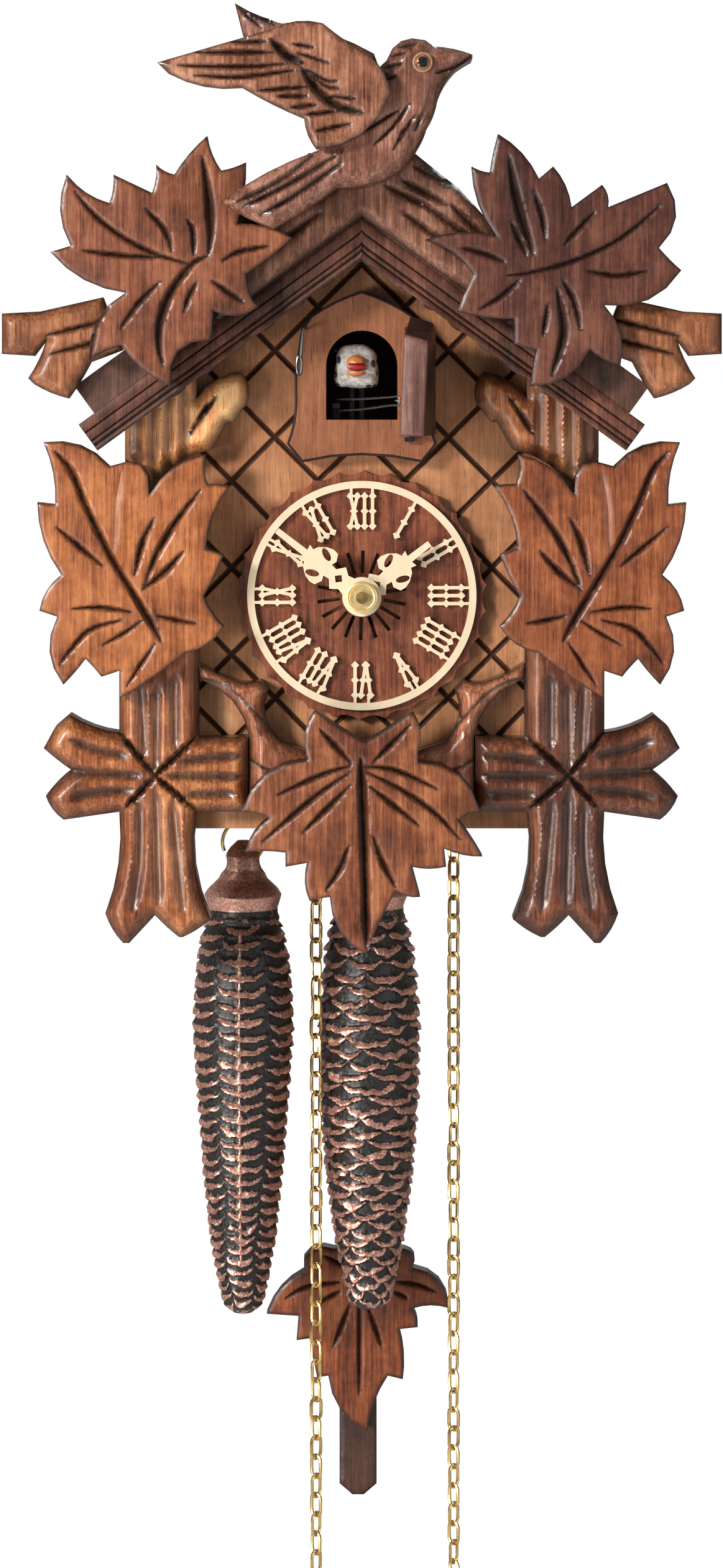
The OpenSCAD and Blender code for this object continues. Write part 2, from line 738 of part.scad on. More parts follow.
module plate_pillars() {
    inner = [[-30, -38], [30, -38], [left_wheel[0], -114.5], [right_wheel[0], -114.5]];
    outer = [[-31, -42], [31, -60], [-31, -90], [31, -90]];
    color("#b08f3a") {
        for (p = inner) rod_y(p, 2, plate_front_y + plate_t, plate_back_y);
        for (p = outer) rod_y(p, 2.5, inside_y, plate_front_y);
    }
}

function gear_points(teeth, r, depth) = [
    for (i = [0 : teeth - 1], k = [0 : 3])
        let (a = (i + [0, 0.25, 0.5, 0.75][k]) * 360 / teeth, q = k < 2 ? r : r - depth)
        [q * cos(a), q * sin(a)]];

module wheel(at, teeth, r, y, t) {
    translate([at[0], y + t, at[1]]) rotate([90, 0, 0]) linear_extrude(t) difference() {
        polygon(gear_points(teeth, r, 1.1));
        for (i = [0 : 3]) rotate(i * 90 + 45) translate([r * 0.52, 0]) circle(r * 0.22);
        circle(arbor_r);
    }
}

// Chain wheel: a hub under the chain, two flanges beside it, its great wheel and its arbor
module sprocket(at, r, chain_y) {
    color("#c9a544") {
        rod_y(at, arbor_r, plate_front_y - 0.6, plate_back_y + plate_t + 0.6);
        difference() {
            union() {
                rod_y(at, r - chain_d / 2 - 0.35, chain_y - 2.9, chain_y + 2.9);
                for (y = [chain_y - 4.2, chain_y + 2.7]) rod_y(at, r + 2, y, y + 1.5);
            }
            rod_y(at, arbor_r, chain_y - 10, chain_y + 10);
        }
        wheel(at, 60, 13, chain_y - 11, 1.5);
    }
}

module time_sprocket() {
    sprocket(left_wheel, left_r, left_y);
}

module strike_sprocket() {
    sprocket(right_wheel, right_r, right_y);
}

// Arbor of the minute hand, with its wheel between the plates
module center_wheel() {
    at = [0, -dial_z];
    color("#c9a544") {
        rod_y(at, arbor_r, minute_hand_y - hand_t - 4, plate_back_y + plate_t);
        wheel(at, 48, 11, -58, 1.2);
    }
}

// Pipe of the hour hand, turning on the minute arbor, and its wheel behind the dial
module hour_wheel() {
    at = [0, -dial_z];
    color("#c9a544") difference() {
        union() {
            rod_y(at, 2.2, hour_hand_y - hand_t, plate_front_y - 1);
            rod_y(at, 8, plate_front_y - 4, plate_front_y - 2.8);
        }
        rod_y(at, arbor_r + bore_play, hour_hand_y - hand_t - 1, plate_front_y);
    }
}

module escape_wheel() {
    y = plate_back_y + plate_t + 1.5;
    color("#c9a544") {
        wheel(escape_axis, escape_teeth, 7.2, y, 1);
        rod_y(escape_axis, arbor_r, plate_back_y - 4, y + 2);
        rod_y(escape_axis, 2.2, plate_back_y - 3, plate_back_y - 0.4);
    }
}

// Anchor with its two pallets, and the crutch that pushes the pendulum's leader
module anchor() {
    y = plate_back_y + plate_t + 1.5;
    arm = [[0, 2.6], [10, -10.6], [8.4, -12.6], [7.6, -12], [8.2, -10.6], [0, -1.2]];
    color("#9c9a94") {
        difference() {
            slab(y, y + 1) translate(pivot) both_sides_2d() polygon(arm);
            rod_y(pivot, arbor_r, y - 1, y + 2);
        }
        rod_y(pivot, arbor_r, plate_back_y - 2, pendulum_y - 4);
        bar([pivot[0], pendulum_y - 4.7, pivot[1]], [pivot[0], pendulum_y - 4.7, pivot[1] - 22], 0.6);
        bar([pivot[0] - 1.7, pendulum_y - 4.7, pivot[1] - 22],
            [pivot[0] - 1.7, pendulum_y + 2, pivot[1] - 22], 0.5);
        bar([pivot[0] + 1.7, pendulum_y - 4.7, pivot[1] - 22],
            [pivot[0] + 1.7, pendulum_y + 2, pivot[1] - 22], 0.5);
        bar([pivot[0] - 2.2, pendulum_y - 4.7, pivot[1] - 22],
            [pivot[0] + 2.2, pendulum_y - 4.7, pivot[1] - 22], 0.6);
    }
}

module both_sides_2d() {
    children();
    mirror([1, 0]) children();
}

// Spiral of wire in half turns, with its post on the back cover
module gong() {
    wire = 0.8;
    step = 2.6;
    first = 4.2;
    y = -7.6;
    color("#6e7076") {
        for (k = [0 : 5]) {
            r = first + k * step;
            side = k % 2 == 0 ? 0 : 180;
            shift = k % 2 == 0 ? 0 : step;
            translate([gong_axis[0] + shift, y, gong_axis[1]]) rotate([90, side, 0])
                rotate_extrude(angle = 180, $fn = 64) translate([r, 0]) circle(wire, $fn = 16);
        }
        rod_y([gong_axis[0] + first, gong_axis[1]], 2.2, y - 1.4, back_y);
    }
}

module gong_hammer() {
    head = [45.4, -9.6, -85];
    head_length = 4;
    from = [hammer_axis[0], plate_back_y + plate_t + 4, hammer_axis[1]];
    color("#9c9a94") {
        rod_y(hammer_axis, arbor_r, plate_front_y - 0.6, from[1] + 2);
        rod_y(hammer_axis, 3, from[1] - 2, from[1] + 2);
        bar(from, head, 0.7);
        translate([head[0] - head_length / 2, head[1], head[2]]) rotate([0, 90, 0])
            cylinder(r = 2.6, h = head_length);
    }
}

// Two wooden pipes, open at a mouth near the top of the front
module whistles() {
    wall = 2.4;
    color("#b98a55") both_sides() difference() {
        translate([whistle_in, whistle_y[0], whistle_low])
            cube([panel_x - whistle_in, whistle_y[1] - whistle_y[0], whistle_high - whistle_low]);
        translate([whistle_in + wall, whistle_y[0] + wall, whistle_low + wall])
            cube([panel_x - whistle_in - 2 * wall, whistle_y[1] - whistle_y[0] - 2 * wall,
                  whistle_high - whistle_low - 2 * wall - 4]);
        translate([whistle_in + wall, whistle_y[0] - 1, whistle_high - 22])
            cube([panel_x - whistle_in - 2 * wall, wall + 2, 6]);
    }
}

// Upper board of a bellows, resting at its lowest, over the pipe that it blows
module bellows_lid_right() {
    color("#a87a48") translate([whistle_in, whistle_y[0], whistle_high + lid_gap])
        cube([panel_x - whistle_in - 1, whistle_y[1] - whistle_y[0], lid_t]);
}

module bellows_lid_left() {
    mirror([1, 0, 0]) bellows_lid_right();
}

// ---- Pendulum ----

// Wire leader with an eye on the suspension pin, hooked into the wooden stick
module pendulum_rod() {
    x = pivot[0];
    stick_top = -150;
    tip = pivot[1] - pendulum_len;
    color("#4a2716") slab(pendulum_y - 2, pendulum_y + 1.4)
        polygon([[x - 5, stick_top], [x + 5, stick_top], [x + 5, tip + 3], [x + 1.5, tip],
                 [x - 1.5, tip], [x - 5, tip + 3]]);
    color("silver") {
        translate([x, pendulum_y, pivot[1]]) rotate([90, 0, 0]) rotate_extrude()
            translate([1.6, 0]) circle(0.5, $fn = 16);
        translate([x, pendulum_y, stick_top - 12])
            cylinder(r = 0.6, h = pivot[1] - 1.6 - stick_top + 12);
    }
}

module pendulum_leaf() {
    color("#7a2f1c") plate(pendulum_leaf_points, pendulum_y - 2 - pendulum_leaf_t, pendulum_y - 2);
}

// ---- Weights and chains ----

// A cast cone turned about its axis, with a cross hole through its neck for the hook
module weight(x, y, tip) {
    color("#8a5040") difference() {
        translate([x, y, tip]) rotate_extrude($fn = 64)
            polygon([for (p = cone_profile) [p[1] * weight_d / 2, p[0]]]);
        translate([x - 8, y, tip + weight_h - 6]) rotate([0, 90, 0]) cylinder(r = 2.4, h = 16);
    }
}

module weight_left() {
    weight(left_wheel[0] - left_r, left_y, left_weight_tip);
}

module weight_right() {
    weight(right_wheel[0] - right_r, right_y, right_weight_tip);
}

// Short strand from the chain wheel to the hook in the weight's eye
module weight_chain(x, y, top, tip) {
    hook_z = tip + weight_h - 6 + hook_r;
    foot = hook_z + hook_r - 0.6;
    color("#c9a544") {
        translate([x, y, foot]) cylinder(d = chain_d, h = top - foot);
        translate([x, y, hook_z]) rotate([90, 0, 0]) rotate_extrude($fn = 48)
            translate([hook_r, 0]) circle(0.8, $fn = 16);
    }
}

module weight_chain_left() {
    weight_chain(left_wheel[0] - left_r, left_y, left_wheel[1] - 0.2, left_weight_tip);
}

module weight_chain_right() {
    weight_chain(right_wheel[0] - right_r, right_y, right_wheel[1] - 0.2, right_weight_tip);
}

// The part of each chain that lies over its wheel
module chain_wraps() {
    color("#c9a544") for (w = [[left_wheel, left_r, left_y], [right_wheel, right_r, right_y]])
        translate([w[0][0], w[2], w[0][1]]) rotate([90, 0, 0])
            rotate_extrude(angle = 180, $fn = 64) translate([w[1], 0])
                circle(d = chain_d, $fn = 16);
}

// A tube with eight sides along a route of two points, with a ring at even steps
module strand(route) {
    sides = 8;
    rings = [for (i = [0 : strand_rings]) route[0] + (route[1] - route[0]) * i / strand_rings];
    points = [for (c = rings, k = [0 : sides - 1])
        c + chain_d / 2 * [cos(k * 360 / sides), sin(k * 360 / sides), 0]];
    walls = [for (i = [0 : strand_rings - 1], k = [0 : sides - 1])
        let (a = i * sides + k, b = i * sides + (k + 1) % sides)
        [a, b, b + sides, a + sides]];
    first = [for (k = [sides - 1 : -1 : 0]) k];
    last = [for (k = [0 : sides - 1]) strand_rings * sides + k];
    polyhedron(points, concat([first], walls, [last]), convexity = 2);
}

module chain_left() {
    color("#c9a544") strand(left_route);
}

module chain_right() {
    color("#c9a544") strand(right_route);
}

// Rest of a free strand, folded into a hank with round ends
module hank(x, y) {
    r = hank_w / 2;
    color("#b8963c") slab(y - hank_d / 2, y + hank_d / 2) {
        translate([x - r, strand_low - hank_h + r]) square([hank_w, hank_h - hank_w]);
        translate([x, strand_low - r]) circle(r);
        translate([x, strand_low - hank_h + r]) circle(r);
    }
}

module hank_left() {
    hank(left_strand_x, left_y);
}

module hank_right() {
    hank(right_strand_x, right_y);
}

// Tie round the hank and the ring on the chain's last link
module chain_end(x, y) {
    tie_t = 0.8;
    z = strand_low - hank_h / 2;
    ring_r = 6;
    color("#b8a98a") difference() {
        translate([x - hank_w / 2 - tie_t, y - hank_d / 2 - tie_t, z - 3])
            cube([hank_w + 2 * tie_t, hank_d + 2 * tie_t, 6]);
        translate([x - hank_w / 2, y - hank_d / 2, z - 4]) cube([hank_w, hank_d, 8]);
    }
    color("#c9a544") translate([x, y, strand_low - hank_h - ring_r - 1]) rotate([90, 0, 0])
        rotate_extrude() translate([ring_r, 0]) circle(1, $fn = 16);
}

module chain_end_left() {
    chain_end(left_strand_x, left_y);
}

module chain_end_right() {
    chain_end(right_strand_x, right_y);
}

front_board();
side_panels();
bottom_board();
back_board();
back_cover();
roof_boards();
gable_trim();
crown_logs();
top_leaf_left();
top_leaf_right();
eave_twigs();
upper_branches();
side_branches();
lower_branch();
side_leaf_left();
side_leaf_right();
bottom_leaf();
carved_bird();
bird_wings();
bird_eye();
dial_plate();
chapter_ring();
minute_hand();
hour_hand();
hand_nut();
cuckoo_frame();
cuckoo_door();
door_hinge_pins();
latch_wire();
cuckoo_body();
cuckoo_beak();
bird_arm();
door_wire();
front_plate();
back_plate();
plate_pillars();
time_sprocket();
strike_sprocket();
center_wheel();
hour_wheel();
escape_wheel();
anchor();
gong();
gong_hammer();
whistles();
bellows_lid_left();
bellows_lid_right();
pendulum_rod();
pendulum_leaf();
weight_left();
weight_right();
weight_chain_left();
weight_chain_right();
chain_wraps();
chain_left();
chain_right();
hank_left();
hank_right();
chain_end_left();
chain_end_right();
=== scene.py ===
"""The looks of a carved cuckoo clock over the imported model, in millimetres until a mesh is made."""
import math
import random
import bpy
import bmesh
import numpy as np
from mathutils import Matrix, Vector, noise
from mathutils.geometry import delaunay_2d_cdt


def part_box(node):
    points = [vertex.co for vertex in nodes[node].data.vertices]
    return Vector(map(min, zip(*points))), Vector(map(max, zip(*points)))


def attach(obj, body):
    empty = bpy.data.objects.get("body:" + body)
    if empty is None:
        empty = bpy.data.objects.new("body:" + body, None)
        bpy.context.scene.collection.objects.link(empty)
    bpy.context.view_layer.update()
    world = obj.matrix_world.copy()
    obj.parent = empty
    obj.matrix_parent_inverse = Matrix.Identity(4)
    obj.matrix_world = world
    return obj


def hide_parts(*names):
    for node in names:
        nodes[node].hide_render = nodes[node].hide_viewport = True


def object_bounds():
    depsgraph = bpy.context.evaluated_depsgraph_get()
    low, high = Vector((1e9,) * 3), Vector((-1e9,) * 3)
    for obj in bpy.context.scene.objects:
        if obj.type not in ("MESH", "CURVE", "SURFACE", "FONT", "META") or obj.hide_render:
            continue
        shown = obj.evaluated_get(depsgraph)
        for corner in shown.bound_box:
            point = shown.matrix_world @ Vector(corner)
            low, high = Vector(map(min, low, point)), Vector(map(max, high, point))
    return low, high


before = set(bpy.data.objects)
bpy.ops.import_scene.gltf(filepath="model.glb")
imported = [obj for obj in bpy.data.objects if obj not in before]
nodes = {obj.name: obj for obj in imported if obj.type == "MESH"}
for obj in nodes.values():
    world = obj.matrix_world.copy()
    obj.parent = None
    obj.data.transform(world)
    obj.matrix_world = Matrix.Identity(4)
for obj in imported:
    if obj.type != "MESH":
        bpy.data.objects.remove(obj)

cad_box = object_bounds()
MM = 0.001
TAU = 2 * math.pi


# ---- Measures ----

def box_mm(node):
    low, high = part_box(node)
    return np.array(low) / MM, np.array(high) / MM


def middle(node):
    low, high = box_mm(node)
    return (low + high) / 2


def half_size(node):
    low, high = box_mm(node)
    return (high - low) / 2


def front_of(node):
    return box_mm(node)[0][1]


FACADE_Y = front_of("front_board")
BRANCH_Y = front_of("side_branches")
SIDE_LEAF_Y = front_of("side_leaf_left")
BOTTOM_LEAF_Y = front_of("bottom_leaf")
TRIM_Y = front_of("gable_trim")
FASCIA_Y = front_of("roof_boards")
LOG_Y = front_of("crown_logs")
TOP_LEAF_Y = front_of("top_leaf_left")
BIRD_Y = front_of("carved_bird")
WING_Y = front_of("bird_wings")
ROOF_SLOPE = math.radians(36)
PEAK_Z = 22.7
CHAIN_WIRE = 0.9
LINK_WIDTH = 4.0
LINK_LENGTH = 6.8
LINK_PITCH = 5.0
STRAND_LOW = -336
HANK_TOP = STRAND_LOW - 14
HANK_FOOT = STRAND_LOW - 74
HANK_INNER = 8.0
HANK_OUTER = 12.0
DOOR_OPEN = math.radians(82)
STAPLE_X = -7.3             # from the door's hinge
STAPLE_Z = -22.6
STICK_TOP = -150.0


def show(thing):
    bpy.context.scene.collection.objects.link(thing)
    return thing


# ---- Camera, world and light ----

VIEW_SCALE = 6.35           # picture units per millimetre at the facade
VIEW_SIZE = (1163, 2521)
VIEW_CENTRE = (582, 600)    # where the line of sight meets the picture
EYE_DISTANCE = 1000.0
EYE_Z = -15.75


def set_camera():
    data = bpy.data.cameras.new("camera")
    data.sensor_width = 36
    data.lens = 36 * EYE_DISTANCE * VIEW_SCALE / VIEW_SIZE[1]
    data.shift_x = (VIEW_SIZE[0] / 2 - VIEW_CENTRE[0]) / VIEW_SIZE[1]
    data.shift_y = -(VIEW_SIZE[1] / 2 - VIEW_CENTRE[1]) / VIEW_SIZE[1]
    data.clip_start = 0.01
    camera = bpy.data.objects.new("camera", data)
    camera.location = (0, (FACADE_Y - EYE_DISTANCE) * MM, EYE_Z * MM)
    camera.rotation_euler = (math.pi / 2, 0, 0)
    bpy.context.scene.camera = show(camera)


def area_light(name, place, aim, size, power, tint=(1, 1, 1)):
    """A soft light, placed and sized in metres."""
    data = bpy.data.lights.new(name, "AREA")
    data.shape = "RECTANGLE"
    data.size, data.size_y = size
    data.energy = power
    data.color = tint
    light = bpy.data.objects.new(name, data)
    light.location = place
    light.rotation_euler = (Vector(aim) - Vector(place)).to_track_quat("-Z", "Y").to_euler()
    show(light)


def set_world(strength):
    world = bpy.data.worlds.new("studio")
    bpy.context.scene.world = world
    world.use_nodes = True
    tree = world.node_tree
    tree.nodes.clear()
    ray = tree.nodes.new("ShaderNodeLightPath")
    seen = tree.nodes.new("ShaderNodeBackground")
    cast = tree.nodes.new("ShaderNodeBackground")
    mix = tree.nodes.new("ShaderNodeMixShader")
    out = tree.nodes.new("ShaderNodeOutputWorld")
    seen.inputs["Color"].default_value = (1, 1, 1, 1)
    seen.inputs["Strength"].default_value = 1.0
    cast.inputs["Color"].default_value = (1, 0.99, 0.98, 1)
    cast.inputs["Strength"].default_value = strength
    tree.links.new(ray.outputs["Is Camera Ray"], mix.inputs["Fac"])
    tree.links.new(cast.outputs[0], mix.inputs[1])
    tree.links.new(seen.outputs[0], mix.inputs[2])
    tree.links.new(mix.outputs[0], out.inputs[0])


set_camera()
bpy.context.scene.view_settings.view_transform = "Standard"
set_world(0.24)
area_light("key", (-1.3, -1.4, 0.5), (0, -0.08, -0.12), (0.36, 0.36), 34, (1, 0.98, 0.95))
area_light("fill", (1.3, -1.3, 0.1), (0, -0.08, -0.15), (0.9, 1.1), 3.8, (0.97, 0.98, 1))
area_light("lift", (-0.9, -1.2, -0.36), (-0.03, -0.08, 0), (0.4, 0.3), 6.5, (1, 0.99, 0.97))
area_light("rim", (0.3, 1.1, 0.9), (0, 0, -0.05), (0.8, 0.8), 10)


# ---- Materials ----

class Shader:
    """A Principled material with short calls for its nodes."""

    def __init__(self, name):
        self.material = bpy.data.materials.new(name)
        self.material.use_nodes = True
        self.tree = self.material.node_tree
        self.surface = self.tree.nodes["Principled BSDF"]
        self.place = self.add("TexCoord").outputs["Object"]

    def add(self, kind, **settings):
        node = self.tree.nodes.new("ShaderNode" + kind)
        for key, value in settings.items():
            setattr(node, key, value)
        return node

    def put(self, socket, value):
        if isinstance(value, bpy.types.NodeSocket):
            self.tree.links.new(value, socket)
        elif socket.type == "RGBA":
            socket.default_value = (*value, 1)
        else:
            socket.default_value = value

    def set(self, **values):
        for key, value in values.items():
            self.put(self.surface.inputs[key.replace("_", " ")], value)

    def stretch(self, scale, turn=(0, 0, 0)):
        node = self.add("Mapping")
        self.put(node.inputs["Vector"], self.place)
        node.inputs["Scale"].default_value = scale
        node.inputs["Rotation"].default_value = turn
        return node.outputs[0]

    def grain(self, vector, scale=1.0, detail=4.0, rough=0.6, twist=0.0):
        node = self.add("TexNoise")
        self.put(node.inputs["Vector"], vector)
        node.inputs["Scale"].default_value = scale
        node.inputs["Detail"].default_value = detail
        node.inputs["Roughness"].default_value = rough
        node.inputs["Distortion"].default_value = twist
        return node.outputs[0]

    def math(self, kind, a, b=0.0, c=0.0):
        node = self.add("Math", operation=kind)
        for socket, value in zip(node.inputs, (a, b, c)):
            self.put(socket, value)
        return node.outputs[0]

    def ramp(self, value, stops):
        node = self.add("ValToRGB")
        self.put(node.inputs[0], value)
        while len(node.color_ramp.elements) < len(stops):
            node.color_ramp.elements.new(1)
        for element, (at, colour) in zip(node.color_ramp.elements, stops):
            element.position = at
            element.color = (*colour, 1)
        return node.outputs[0]

    def band(self, value, low, high, out_low=0.0, out_high=1.0):
        node = self.add("MapRange", clamp=True)
        for socket, number in zip(node.inputs, (value, low, high, out_low, out_high)):
            self.put(socket, number)
        return node.outputs[0]

    def mix(self, share, a, b):
        node = self.add("Mix", data_type="RGBA")
        self.put(node.inputs[0], share)
        self.put(node.inputs[6], a)
        self.put(node.inputs[7], b)
        return node.outputs[2]

    def attribute(self, name):
        return self.add("Attribute", attribute_name=name).outputs["Fac"]

    def bump(self, height, depth, strength=1.0, under=None):
        node = self.add("Bump")
        node.inputs["Strength"].default_value = strength
        node.inputs["Distance"].default_value = depth
        self.put(node.inputs["Height"], height)
        if under is not None:
            self.put(node.inputs["Normal"], under)
        return node.outputs[0]


def wood(name, dark, mid, light, turn=0.0, gloss=0.36, coat=0.12, cut=(0.010, 0.004, 0.0025),
         rim=(0.016, 0.006, 0.004), coarse=1.0, low=0.39, high=0.61, painted_shade_behind=None):
    """Stained and lacquered wood. turn tips the grain from vertical, in degrees, about Y."""
    s = Shader(name)

    def streaks(across, along, **settings):
        scale = (across / coarse, across / coarse, along / coarse)
        return s.grain(s.stretch(scale, (0, math.radians(turn), 0)), **settings)

    fibre = streaks(1500, 60, detail=6, rough=0.7)
    figure = streaks(330, 16, detail=4, twist=0.6)
    blotch = s.grain(s.place, 75 / coarse, 3, 0.55)
    mottle = s.grain(s.place, 420 / coarse, 4, 0.65)
    share = s.math("MULTIPLY_ADD", fibre, 0.34, s.math("MULTIPLY", figure, 0.22))
    share = s.math("ADD", share, s.math("MULTIPLY_ADD", blotch, 0.3, s.math("MULTIPLY", mottle, 0.14)))
    colour = s.ramp(share, [(low, dark), ((low + high) / 2, mid), (high, light)])
    pore = s.band(streaks(2600, 130, detail=2), 0.60, 0.70)
    colour = s.mix(s.math("MULTIPLY", pore, 0.55), colour, cut)
    ragged = s.math("MULTIPLY_ADD", mottle, 0.7, 0.62)
    colour = s.mix(s.math("MULTIPLY", s.attribute("rim"), ragged), colour, rim)
    # Painted shade: the cut attribute turns carved cuts, the fascia's grooves and lower band, and the door's
    # top and outer face toward the cut colour.
    colour = s.mix(s.math("MINIMUM", s.math("MULTIPLY", s.attribute("cut"), ragged), 1.0), colour, cut)
    # Painted shade: points lying more than 0.12 mm behind the given depth, such as the bottoms of the
    # facade's grooves, turn toward the cut colour.
    if painted_shade_behind is not None:
        depth = s.add("SeparateXYZ")
        s.put(depth.inputs[0], s.place)
        behind = s.band(depth.outputs["Y"], (painted_shade_behind + 0.12) * MM, (painted_shade_behind + 0.3) * MM)
        colour = s.mix(s.math("MULTIPLY", behind, 0.93), colour, cut)
    s.set(Base_Color=colour, Roughness=s.band(fibre, 0.3, 0.7, gloss - 0.08, gloss + 0.14))
    s.set(Coat_Weight=coat, Coat_Roughness=0.2, Specular_IOR_Level=0.42)
    fine = s.bump(fibre, 0.00012, 0.5)
    s.set(Normal=s.bump(mottle, 0.00025, 0.35, fine))
    return s.material


def metal(name, base, rough, tarnish, tarnish_share=0.35, metallic=1.0):
    s = Shader(name)
    cloud = s.grain(s.place, 160, 5, 0.65)
    dirt = s.band(cloud, 0.45, 0.7, 0, tarnish_share)
    scratch = s.grain(s.stretch((900, 2160, 450)), detail=3)
    s.set(Base_Color=s.mix(dirt, base, tarnish), Metallic=metallic)
    s.set(Roughness=s.band(scratch, 0.3, 0.7, rough - 0.07, rough + 0.12))
    s.set(Normal=s.bump(scratch, 0.00004, 0.4))
    return s.material


def plastic(name, base, shade, rough, stripe=(260, 260, 40), depth=0.00006, contrast=0.6):
    """Moulded plastic with a pale imitation grain along Z."""
    s = Shader(name)
    vein = s.grain(s.stretch(stripe), detail=5, rough=0.6, twist=0.4)
    s.set(Base_Color=s.mix(s.band(vein, 0.42, 0.68, 0, contrast), base, shade))
    s.set(Roughness=s.band(vein, 0.3, 0.7, rough - 0.06, rough + 0.1))
    s.set(Coat_Weight=0.12, Coat_Roughness=0.25)
    s.set(Normal=s.bump(vein, depth, 0.5))
    return s.material


# The facade's grooves take painted shade from their depth.
FACADE = wood("facade_wood", (0.17, 0.052, 0.018), (0.47, 0.20, 0.085), (0.78, 0.40, 0.19), gloss=0.45,
              cut=(0.03, 0.011, 0.007), low=0.3, high=0.7, painted_shade_behind=FACADE_Y)
FRAME_WOOD = wood("frame_wood", (0.112, 0.031, 0.012), (0.306, 0.108, 0.045), (0.53, 0.216, 0.092),
                  gloss=0.42, low=0.28, high=0.72)
DOOR_WOOD = wood("door_wood", (0.055, 0.02, 0.015), (0.154, 0.066, 0.05), (0.297, 0.145, 0.115), gloss=0.42)
# Each left and right pair below is one wood, painted lighter on the left and darker on the right as the light
# from the left falls on it.
LEAF_LEFT_PAINTED_LIGHT = wood("side_leaf_wood_left_painted_light", (0.104, 0.021, 0.006), (0.364, 0.109, 0.033),
                 (0.603, 0.225, 0.074), coat=0.2)
LEAF_RIGHT_PAINTED_SHADE = wood("side_leaf_wood_right_painted_shade", (0.069, 0.014, 0.005), (0.249, 0.066, 0.022),
                  (0.456, 0.152, 0.053), coat=0.2)
LEAF_LOW = wood("bottom_leaf_wood", (0.049, 0.011, 0.005), (0.205, 0.057, 0.021), (0.443, 0.157, 0.06),
                coat=0.2)
# Top leaves: one wood, painted lit on the left and painted shade on the right.
LEAF_TOP_LEFT_PAINTED_LIGHT = wood("top_leaf_wood_left_painted_light", (0.052, 0.013, 0.006), (0.198, 0.058, 0.025),
                     (0.385, 0.135, 0.061), turn=76, coat=0.2)
LEAF_TOP_RIGHT_PAINTED_SHADE = wood("top_leaf_wood_right_painted_shade", (0.029, 0.008, 0.005), (0.097, 0.029, 0.018),
                      (0.204, 0.074, 0.042), turn=-80)
# Upper branches: one wood, painted lit on the left and painted shade on the right.
BRANCH_LEFT_PAINTED_LIGHT = wood("branch_wood_left_painted_light", (0.264, 0.078, 0.023), (0.902, 0.353, 0.129), (1, 0.647, 0.286),
                   coat=0.3)
BRANCH_RIGHT_PAINTED_SHADE = wood("branch_wood_right_painted_shade", (0.09, 0.024, 0.007), (0.36, 0.119, 0.042), (0.72, 0.323, 0.138),
                    coat=0.3)
# Crosses: one wood, painted lit on the left and painted shade on the right.
CROSS_LEFT_PAINTED_LIGHT = wood("cross_wood_left_painted_light", (0.077, 0.018, 0.005), (0.308, 0.089, 0.028), (0.726, 0.298, 0.108),
                  gloss=0.3, coat=0.35)
CROSS_RIGHT_PAINTED_SHADE = wood("cross_wood_right_painted_shade", (0.034, 0.008, 0.004), (0.14, 0.039, 0.016), (0.403, 0.149, 0.065),
                   gloss=0.3, coat=0.35)
ANTLER = wood("antler_wood", (0.078, 0.022, 0.009), (0.325, 0.103, 0.048), (0.762, 0.343, 0.18),
              gloss=0.28, coat=0.4)
TWIG = wood("twig_wood", (0.074, 0.02, 0.008), (0.265, 0.09, 0.035), (0.53, 0.22, 0.098), turn=70)
BIRD = wood("bird_wood", (0.05, 0.016, 0.009), (0.25, 0.095, 0.058), (0.55, 0.27, 0.19), turn=60,
            gloss=0.28, coat=0.35, low=0.4, high=0.6)
WING = wood("wing_wood", (0.06, 0.018, 0.009), (0.29, 0.108, 0.056), (0.58, 0.28, 0.17), turn=80,
            gloss=0.28, coat=0.35, low=0.4, high=0.6)
CROWN = wood("crown_wood", (0.04, 0.015, 0.009), (0.18, 0.068, 0.039), (0.46, 0.213, 0.128), turn=60)
FASCIA = wood("fascia_wood", (0.022, 0.008, 0.005), (0.106, 0.033, 0.018), (0.246, 0.09, 0.051), turn=54,
              gloss=0.5, coat=0.06)
VALANCE = wood("valance_wood", (0.018, 0.007, 0.005), (0.06, 0.022, 0.014), (0.18, 0.075, 0.05))
BURNT = wood("burnt_wood", (0.008, 0.003, 0.002), (0.018, 0.007, 0.005), (0.045, 0.018, 0.012), gloss=0.7,
             coat=0.0)
CASE = wood("case_wood", (0.07, 0.03, 0.016), (0.17, 0.08, 0.044), (0.27, 0.135, 0.075), gloss=0.5,
            coat=0.1)
ROOF = wood("roof_wood", (0.03, 0.012, 0.008), (0.1, 0.042, 0.026), (0.2, 0.09, 0.06), turn=90, gloss=0.42)
DIAL_WOOD = wood("dial_wood", (0.04, 0.009, 0.004), (0.185, 0.05, 0.022), (0.35, 0.112, 0.05), coarse=0.8)
PENDULUM_WOOD = wood("pendulum_leaf_wood", (0.033, 0.007, 0.002), (0.218, 0.049, 0.013),
                     (0.456, 0.14, 0.042))
STICK = wood("stick_wood", (0.022, 0.008, 0.005), (0.06, 0.023, 0.014), (0.1, 0.04, 0.026))
PIPE = wood("pipe_wood", (0.36, 0.22, 0.11), (0.52, 0.35, 0.19), (0.64, 0.46, 0.27), gloss=0.55, coat=0.0,
            cut=(0.2, 0.11, 0.05), rim=(0.2, 0.11, 0.05))
CREAM = plastic("cream_plastic", (0.8, 0.64, 0.43), (0.9, 0.76, 0.56), 0.42)
WHITE = plastic("painted_white", (0.62, 0.6, 0.56), (0.2, 0.17, 0.15), 0.5, stripe=(900, 900, 900),
                depth=0.0003, contrast=0.75)
ORANGE = plastic("beak_orange", (0.72, 0.26, 0.07), (0.5, 0.13, 0.05), 0.4, stripe=(500, 500, 500))
RED = plastic("mouth_red", (0.5, 0.03, 0.02), (0.3, 0.02, 0.02), 0.35, stripe=(500, 500, 500))
